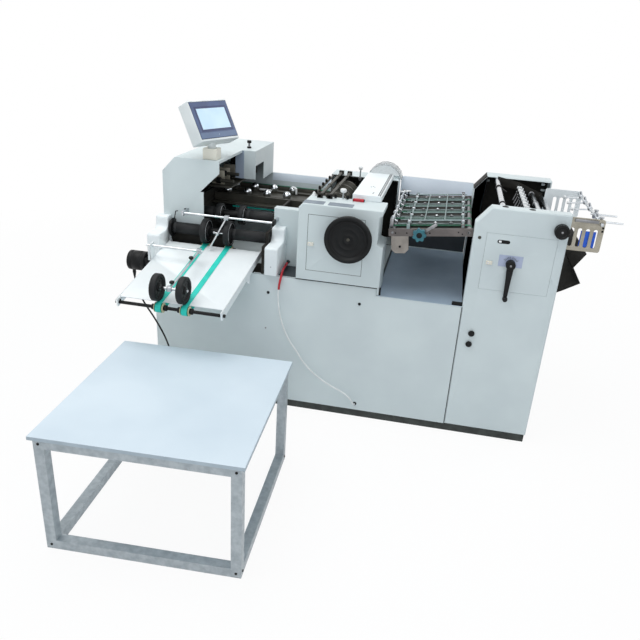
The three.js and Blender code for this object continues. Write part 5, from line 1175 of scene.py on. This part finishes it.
class FOLDER_OT_folding_rollers(Step, bpy.types.Operator):
    """Set the fold plates, the two rollers with their discs, and the rods in front"""

    bl_idname = "folder.folding_rollers"
    bl_label = "Folding rollers"

    def make(self, context):
        for node in ("fold_plate_left", "fold_plate_right"):
            dressed(node, "lacquer_and_shade", ease=1.0).done()
        # Each roller: its axis, the ends of its shaft and of its sleeves, and its two discs
        rollers = (
            ("front_roller", -302, 808, (-890.9, -370), (-837, -388), (-680, -570), 58),
            ("rear_roller", -180, 868, (-780, -370), (-762, -388), (-654, -544), 45),
        )
        for name, y, z, ends, sleeve, discs, radius in rollers:
            roller = remade(name, "turned")
            roller.add("ground_steel", bar(9, (ends[0], y, z), (ends[1], y, z), 0.8, 28))
            # The sleeves stop 19 mm short of the middle of the disc beside them.
            inner_ends = discs[0] - 19, discs[1] + 19
            for start, end in ((sleeve[0], inner_ends[0]), (inner_ends[1], sleeve[1])):
                long = end - start
                outline = [(0, 0), (22, 0), (24.5, 1), (26, 3), (26, 16), (25, 17), (25, 19), (26, 20),
                           (26, long - 12), (25, long - 11), (25, long - 9), (26, long - 8), (26, long - 3),
                           (24.5, long - 1), (22, long), (0, long)]
                roller.add("nitrile_rubber", turned(outline, (start, y, z), "x", 48))
            roller.add("black_resin_and_shade", bar(18, (inner_ends[0], y, z), (inner_ends[1], y, z), 1, 36))
            for x in discs:
                wheel = grooved(radius, 26, 9, 12, (24, 30))
                roller.add("nitrile_rubber", turned(wheel, (x, y, z), "x", 64))
                roller.add("drawn_aluminium", ring(radius - 9.6, 0.9, (x + 12.6, y, z), "x", 56, 8))
                for side, up in round_about((radius + 16) / 2, 6):
                    roller.add("black_resin_and_shade", rod(4, (x + 5.6, y + side, z + up), "x", 2.8, 0.6, 12))
            if name == "front_roller":
                roller.add("black_resin_and_shade", rod(43, (-848, y, z), "x", 10, 2, 48))
            roller.done(50)
        rods = dressed("guide_rods", "drawn_aluminium", ease=0.8)
        rods.add("nickel_plate", rod(5.2, (-784.8, -330, 889), "x", 437.8, 0.8, 24))
        rods.add("black_resin_and_shade", block((-357.2, -341, 878), (-346.4, -300, 900), 1.4))
        rods.add("nickel_plate", bar(4.2, (-572, -330, 889), (-640, -372, 749), 0.8, 20))
        rods.add("nickel_plate", rod(3, (-625, -344, 817), "x", 39, 0.6, 14))
        rods.add("drawn_aluminium", ball(6, (-627, -344, 817), 18))
        rods.add("drawn_aluminium", rod(7, (-606, -354, 817), "-y", 10, 1, 20))
        for x, z in ((-828, 881), (-783, 897)):
            rods.add("black_resin_and_shade", bar(2.2, (x, -280, z), (x, -303, z + 4), 0.5, 12))
            rods.add("black_resin_and_shade", bar(2.2, (x, -303, z + 4), (x - 6, -303, z - 30), 0.5, 12))
        rods.done()


class FOLDER_OT_register(Step, bpy.types.Operator):
    """Finish the register table with its balls, bars and tape"""

    bl_idname = "folder.register"
    bl_label = "Register table"

    def make(self, context):
        dressed("register_table", "blackened_steel", ease=1.0).done(20)
        rails = dressed("ball_rails", "blackened_steel", ease=1.0)
        for x in range(-724, -408, 105):
            for y in (138, 275):
                rails.add("nickel_plate", ball(21.2, (x, y, 907.3), 36))
                rails.add("blackened_steel", ring(20.6, 1.5, (x, y, 903), "z", 40))
                rails.add("blackened_steel", disc(19, 6, 15, 9, (x, y, 886.2), "z", 32))
        for start, end in (((-586, 252, 900), (-518, 246, 900)), ((-409, 262, 925), (-384, 238, 925)),
                           ((-384, 238, 926), (-382, 236, 896))):
            rails.add("white_abs", bar(5, start, end, 1, 16))
        rails.add("white_abs", block((-276, 216, 886.4), (-258, 230, 920), 2))
        rails.done()
        extras = Piece("register_tapes")
        extras.add("tape_green", block((-764, 344, 906.4), (-226, 351.6, 909), 0.5))
        extras.add("woven_belt", block((-672, 56, 842), (-385, 59.6, 849), 0.4))
        slanted = [(-403, 790), (-386, 812), (-386, 822), (-403, 800)]
        extras.add("woven_belt", slab(slanted, "y", -282, -278, 0.3, 1))
        extras.add("blackened_steel", block((-767, 20, 864), (-383, 59.5, 871.7), 0.8))
        extras.done()


class FOLDER_OT_delivery_tray(Step, bpy.types.Operator):
    """Finish the sloping delivery tray with its screws and its support rod"""

    bl_idname = "folder.delivery_tray"
    bl_label = "Delivery tray"

    def make(self, context):
        tray = dressed("delivery_tray", "white_powder_coat", ease=1.4)
        screws(tray, "black_resin_and_shade", [(-412, -368, 699), (-412, -439, 686)], "x", 4.6, 3)
        tray.add("black_resin_and_shade", rod(6, (-862, 6, 4), "x", 12, 1, 16), TRAY)
        tray.done(20)
        cover = Piece("tray_rod_cover")
        cover.add("nickel_plate", rod(5.3, (-882, 359, 77.2), "x", 236, 0.8, 20), TRAY)
        cover.done()


class FOLDER_OT_belts(Step, bpy.types.Operator):
    """Run the two delivery belts round their pulleys"""

    bl_idname = "folder.belts"
    bl_label = "Delivery belts"

    def make(self, context):
        for node in ("delivery_belt_left", "delivery_belt_right"):
            dressed(node, "woven_belt", ease=0.4, steps=1).done(40)
        shafts = (("delivery_shaft", 0, (-868, -404), 7, "black_resin_and_shade"),
                  ("belt_drive_shaft", 541, (-890.9, -370), 8, "ground_steel"))
        for name, u, ends, radius, finish in shafts:
            shaft = remade(name, "turned")
            shaft.add(finish, bar(radius, (ends[0], u, 0), (ends[1], u, 0), 0.8, 28), TRAY)
            for x in (-680, -570):
                crown = mirrored([(0, 0), (17.4, 0), (18.6, 1.5), (19, 8)], 16)
                shaft.add("tape_green", turned(crown, (x - 16, u, 0), "x", 48), TRAY)
                for side in (-18.2, 16):
                    shaft.add("cream_washer", rod(20.4, (x + side, u, 0), "x", 2.2, 0.5, 40), TRAY)
                for side in (18.4, -32.4):
                    shaft.add("black_resin_and_shade", rod(12, (x + side, u, 0), "x", 14, 1.2, 28), TRAY)
            shaft.done(50)


class FOLDER_OT_hold_down_wheels(Step, bpy.types.Operator):
    """Set the two hold-down wheels on their arm over the belts"""

    bl_idname = "folder.hold_down_wheels"
    bl_label = "Hold-down wheels"

    def make(self, context):
        y, z = -824.96, 714.74
        tyre = mirrored([(0, -6), (40, -6), (42, -11.6), (46, -12.5), (46.8, -9), (49, -9), (50, -12.5),
                         (54, -12.5), (55.7, -10.6)])
        hub = mirrored([(0, -12), (14, -12), (16, -10), (17, -6)])
        for side, x in (("left", -692), ("right", -582)):
            wheel = remade("hold_down_wheel_" + side, "turned", "wheel_" + side)
            wheel.add("nitrile_rubber", turned(tyre, (x, y, z), "x", 72))
            wheel.add("black_resin_and_shade", turned(hub, (x, y, z), "x", 40))
            wheel.add("black_resin_and_shade", ring(33, 1.4, (x + 6, y, z), "x", 56, 8))
            for across, up in round_about(24.5, 6):
                wheel.add("lacquer_and_shade", rod(4.4, (x + 4, y + across, z + up), "x", 2.8, 0.6, 14))
            wheel.done(50)
        arm = dressed("wheel_arm", "drawn_aluminium", "wheel_arm", ease=0.9)
        arm.add("nickel_plate", rod(6.2, (-709, y, z), "x", 144, 1, 24))
        head = [(0, 0), (5, 0), (7, 3), (10, 5), (10.5, 9), (9, 12), (0, 13)]
        for y, z in ((-592, 764), (-800, 726)):
            arm.add("black_resin_and_shade", turned(head, (-640, y, z), (0, -0.18, 1), 24))
        arm.done()


class FOLDER_OT_motor(Step, bpy.types.Operator):
    """Finish the delivery motor at the left end"""

    bl_idname = "folder.motor"
    bl_label = "Delivery motor"

    def make(self, context):
        motor = dressed("delivery_motor", "black_resin_and_shade", ease=0.8)
        shell = [(0, 0), (30, 0), (41, 1.5), (45, 5), (46.2, 9), (46.2, 20), (45, 21), (45, 23),
                 (46.2, 24), (46.2, 66), (45, 67), (45, 69), (46.2, 70), (46.2, 84), (44, 88), (0, 88)]
        y, z = -360, 643
        motor.add("black_resin_and_shade", turned(shell, (-1038.3, y, z), "x", 64))
        for across, up in round_about(36, 4, math.tau / 8):
            motor.add("ground_steel", disc(3.4, 1.2, 0, 1.3, (-1037, y + across, z + up), "-x", 14))
        motor.done(40)


class FOLDER_OT_table(Step, bpy.types.Operator):
    """Finish the separate receiving table: board, edge band, tubes and bolts"""

    bl_idname = "folder.table"
    bl_label = "Receiving table"

    def make(self, context):
        top = dressed("table_top", "melamine_laminate", ease=1.2)
        top.paint("edge_band", lambda at, way: abs(way.z) < 0.5)
        top.done(20)
        tubes = dressed("table_frame", "galvanised_tube", ease=2.2, steps=3)
        # The board is 713 by 731 mm, and the frame of 36 mm tubes is set in by 12 mm all round.
        half, wide, deep = 36 / 2, 713 / 2 - 12, 731 / 2 - 12
        for side in (-1, 1):
            # The middle of a leg
            x, y = side * (wide - half), side * (deep - half)
            for z in (429, 18):
                tubes.add("lacquer_and_shade", disc(4.6, 2, 3, 3, (x, -deep, z), "-y", 16), TABLE)
                tubes.add("lacquer_and_shade", disc(4.6, 2, 3, 3, (wide, y, z), "x", 16), TABLE)
            for y in (half - deep, deep - half):
                foot = block((x - half, y - half, 0.2), (x + half, y + half, 3), 0.8)
                tubes.add("black_resin_and_shade", foot, TABLE)
        tubes.done(20)


class FOLDER_OT_stage(Step, bpy.types.Operator):
    """Set the pale floor, the studio light and the white surroundings"""

    bl_idname = "folder.stage"
    bl_label = "Studio"

    def make(self, context):
        studio = context.scene.folder_studio
        bm = bmesh.new()
        bmesh.ops.create_grid(bm, x_segments=1, y_segments=1, size=40)
        bmesh.ops.translate(bm, vec=(0, 4, -0.0005), verts=bm.verts)
        mesh = bpy.data.meshes.new("studio_floor")
        bm.to_mesh(mesh)
        bm.free()
        floor = bpy.data.objects.new("studio_floor", mesh)
        context.scene.collection.objects.link(floor)
        # Matt white paper: it takes the shadow, and where it is seen it is mostly plain white.
        paper = bpy.data.materials.new("seamless_paper")
        paper.use_nodes = True
        tree = paper.node_tree
        shader = tree.nodes["Principled BSDF"]
        shader.inputs["Base Color"].default_value = linear("#F2F4F5")
        shader.inputs["Roughness"].default_value = 0.9
        shader.inputs["Specular IOR Level"].default_value = 0.1
        glow = add_node(tree, "ShaderNodeEmission", {"Color": (1, 1, 1, 1), "Strength": 1.0})
        # Four metres out and more it is all plain white, so that it has no edge against the sky.
        place = add_node(tree, "ShaderNodeTexCoord").outputs["Object"]
        away = add_node(tree, "ShaderNodeVectorMath", None, {0: place},
                        operation="LENGTH").outputs["Value"]
        plain = add_node(tree, "ShaderNodeMapRange",
                         {"From Min": 2.0, "From Max": 4.0, "To Min": 0.93, "To Max": 1.0},
                         {"Value": away}).outputs["Result"]
        share = add_node(tree, "ShaderNodeMath", None, {0: seen_ray(tree), 1: plain}, operation="MULTIPLY")
        mixed = add_node(tree, "ShaderNodeMixShader", None,
                         {0: share.outputs["Value"], 1: shader.outputs["BSDF"],
                          2: glow.outputs["Emission"]})
        tree.links.new(mixed.outputs["Shader"], tree.nodes["Material Output"].inputs["Surface"])
        mesh.materials.append(paper)

        world = bpy.data.worlds.new("studio_sky")
        context.scene.world = world
        world.use_nodes = True
        tree = world.node_tree
        sky = tree.nodes["Background"]
        sky.inputs["Color"].default_value = (*studio.sky_colour, 1)
        sky.inputs["Strength"].default_value = studio.sky_strength
        white = add_node(tree, "ShaderNodeBackground", {"Color": (1, 1, 1, 1), "Strength": 1.0})
        mixed = add_node(tree, "ShaderNodeMixShader", None,
                         {0: seen_ray(tree), 1: sky.outputs["Background"], 2: white.outputs["Background"]})
        tree.links.new(mixed.outputs["Shader"], tree.nodes["World Output"].inputs["Surface"])

        aim = Vector((-0.1, -0.3, 0.5))
        lamps = (("key", studio.key_power, 3.2, (-1.2, -0.8, 4.2), "#FFFFFF"),
                 ("fill", studio.fill_power, 2.6, (1.0, -4.2, 2.2), "#F3F7FF"),
                 ("rim", studio.fill_power * 1.4, 2.4, (3.2, 2.6, 3.0), "#FFFFFF"))
        for name, power, size, place, colour in lamps:
            data = bpy.data.lights.new(name, "AREA")
            data.shape = "SQUARE"
            data.size = size
            data.energy = power
            data.color = linear(colour)[:3]
            lamp = bpy.data.objects.new(name, data)
            lamp.location = place
            lamp.rotation_euler = (aim - Vector(place)).to_track_quat("-Z", "Y").to_euler()
            context.scene.collection.objects.link(lamp)


OPERATORS = (
    FOLDER_OT_camera, FOLDER_OT_cables, FOLDER_OT_casing, FOLDER_OT_end_frames, FOLDER_OT_door,
    FOLDER_OT_controls, FOLDER_OT_feeder_bars, FOLDER_OT_magazine, FOLDER_OT_feed_table,
    FOLDER_OT_hold_down_grid, FOLDER_OT_press_housings, FOLDER_OT_press_works, FOLDER_OT_press_covers,
    FOLDER_OT_handwheel, FOLDER_OT_side_covers, FOLDER_OT_hood, FOLDER_OT_screen,
    FOLDER_OT_folding_rollers, FOLDER_OT_register, FOLDER_OT_delivery_tray, FOLDER_OT_belts,
    FOLDER_OT_hold_down_wheels, FOLDER_OT_motor, FOLDER_OT_table, FOLDER_OT_stage,
)


class FOLDER_PT_sidebar(bpy.types.Panel):
    """Lists the sizes and the steps that build the machine"""

    bl_label = "Paper Folding Machine"
    bl_idname = "FOLDER_PT_sidebar"
    bl_space_type = "VIEW_3D"
    bl_region_type = "UI"
    bl_category = "Folder"

    def draw(self, context):
        for settings in (context.scene.folder_sizes, context.scene.folder_studio):
            box = self.layout.box()
            for name in settings.__annotations__:
                box.prop(settings, name)
        column = self.layout.column(align=True)
        for operator in OPERATORS:
            column.operator(operator.bl_idname)


CLASSES = (FolderSizes, StudioSettings) + OPERATORS + (FOLDER_PT_sidebar,)


def register():
    for item in CLASSES:
        bpy.utils.register_class(item)
    bpy.types.Scene.folder_sizes = PointerProperty(type=FolderSizes)
    bpy.types.Scene.folder_studio = PointerProperty(type=StudioSettings)


def unregister():
    del bpy.types.Scene.folder_studio
    del bpy.types.Scene.folder_sizes
    for item in reversed(CLASSES):
        bpy.utils.unregister_class(item)


def main():
    register()
    for operator in OPERATORS:
        group, name = operator.bl_idname.split(".")
        getattr(getattr(bpy.ops, group), name)()


if __name__ == "__main__":
    main()
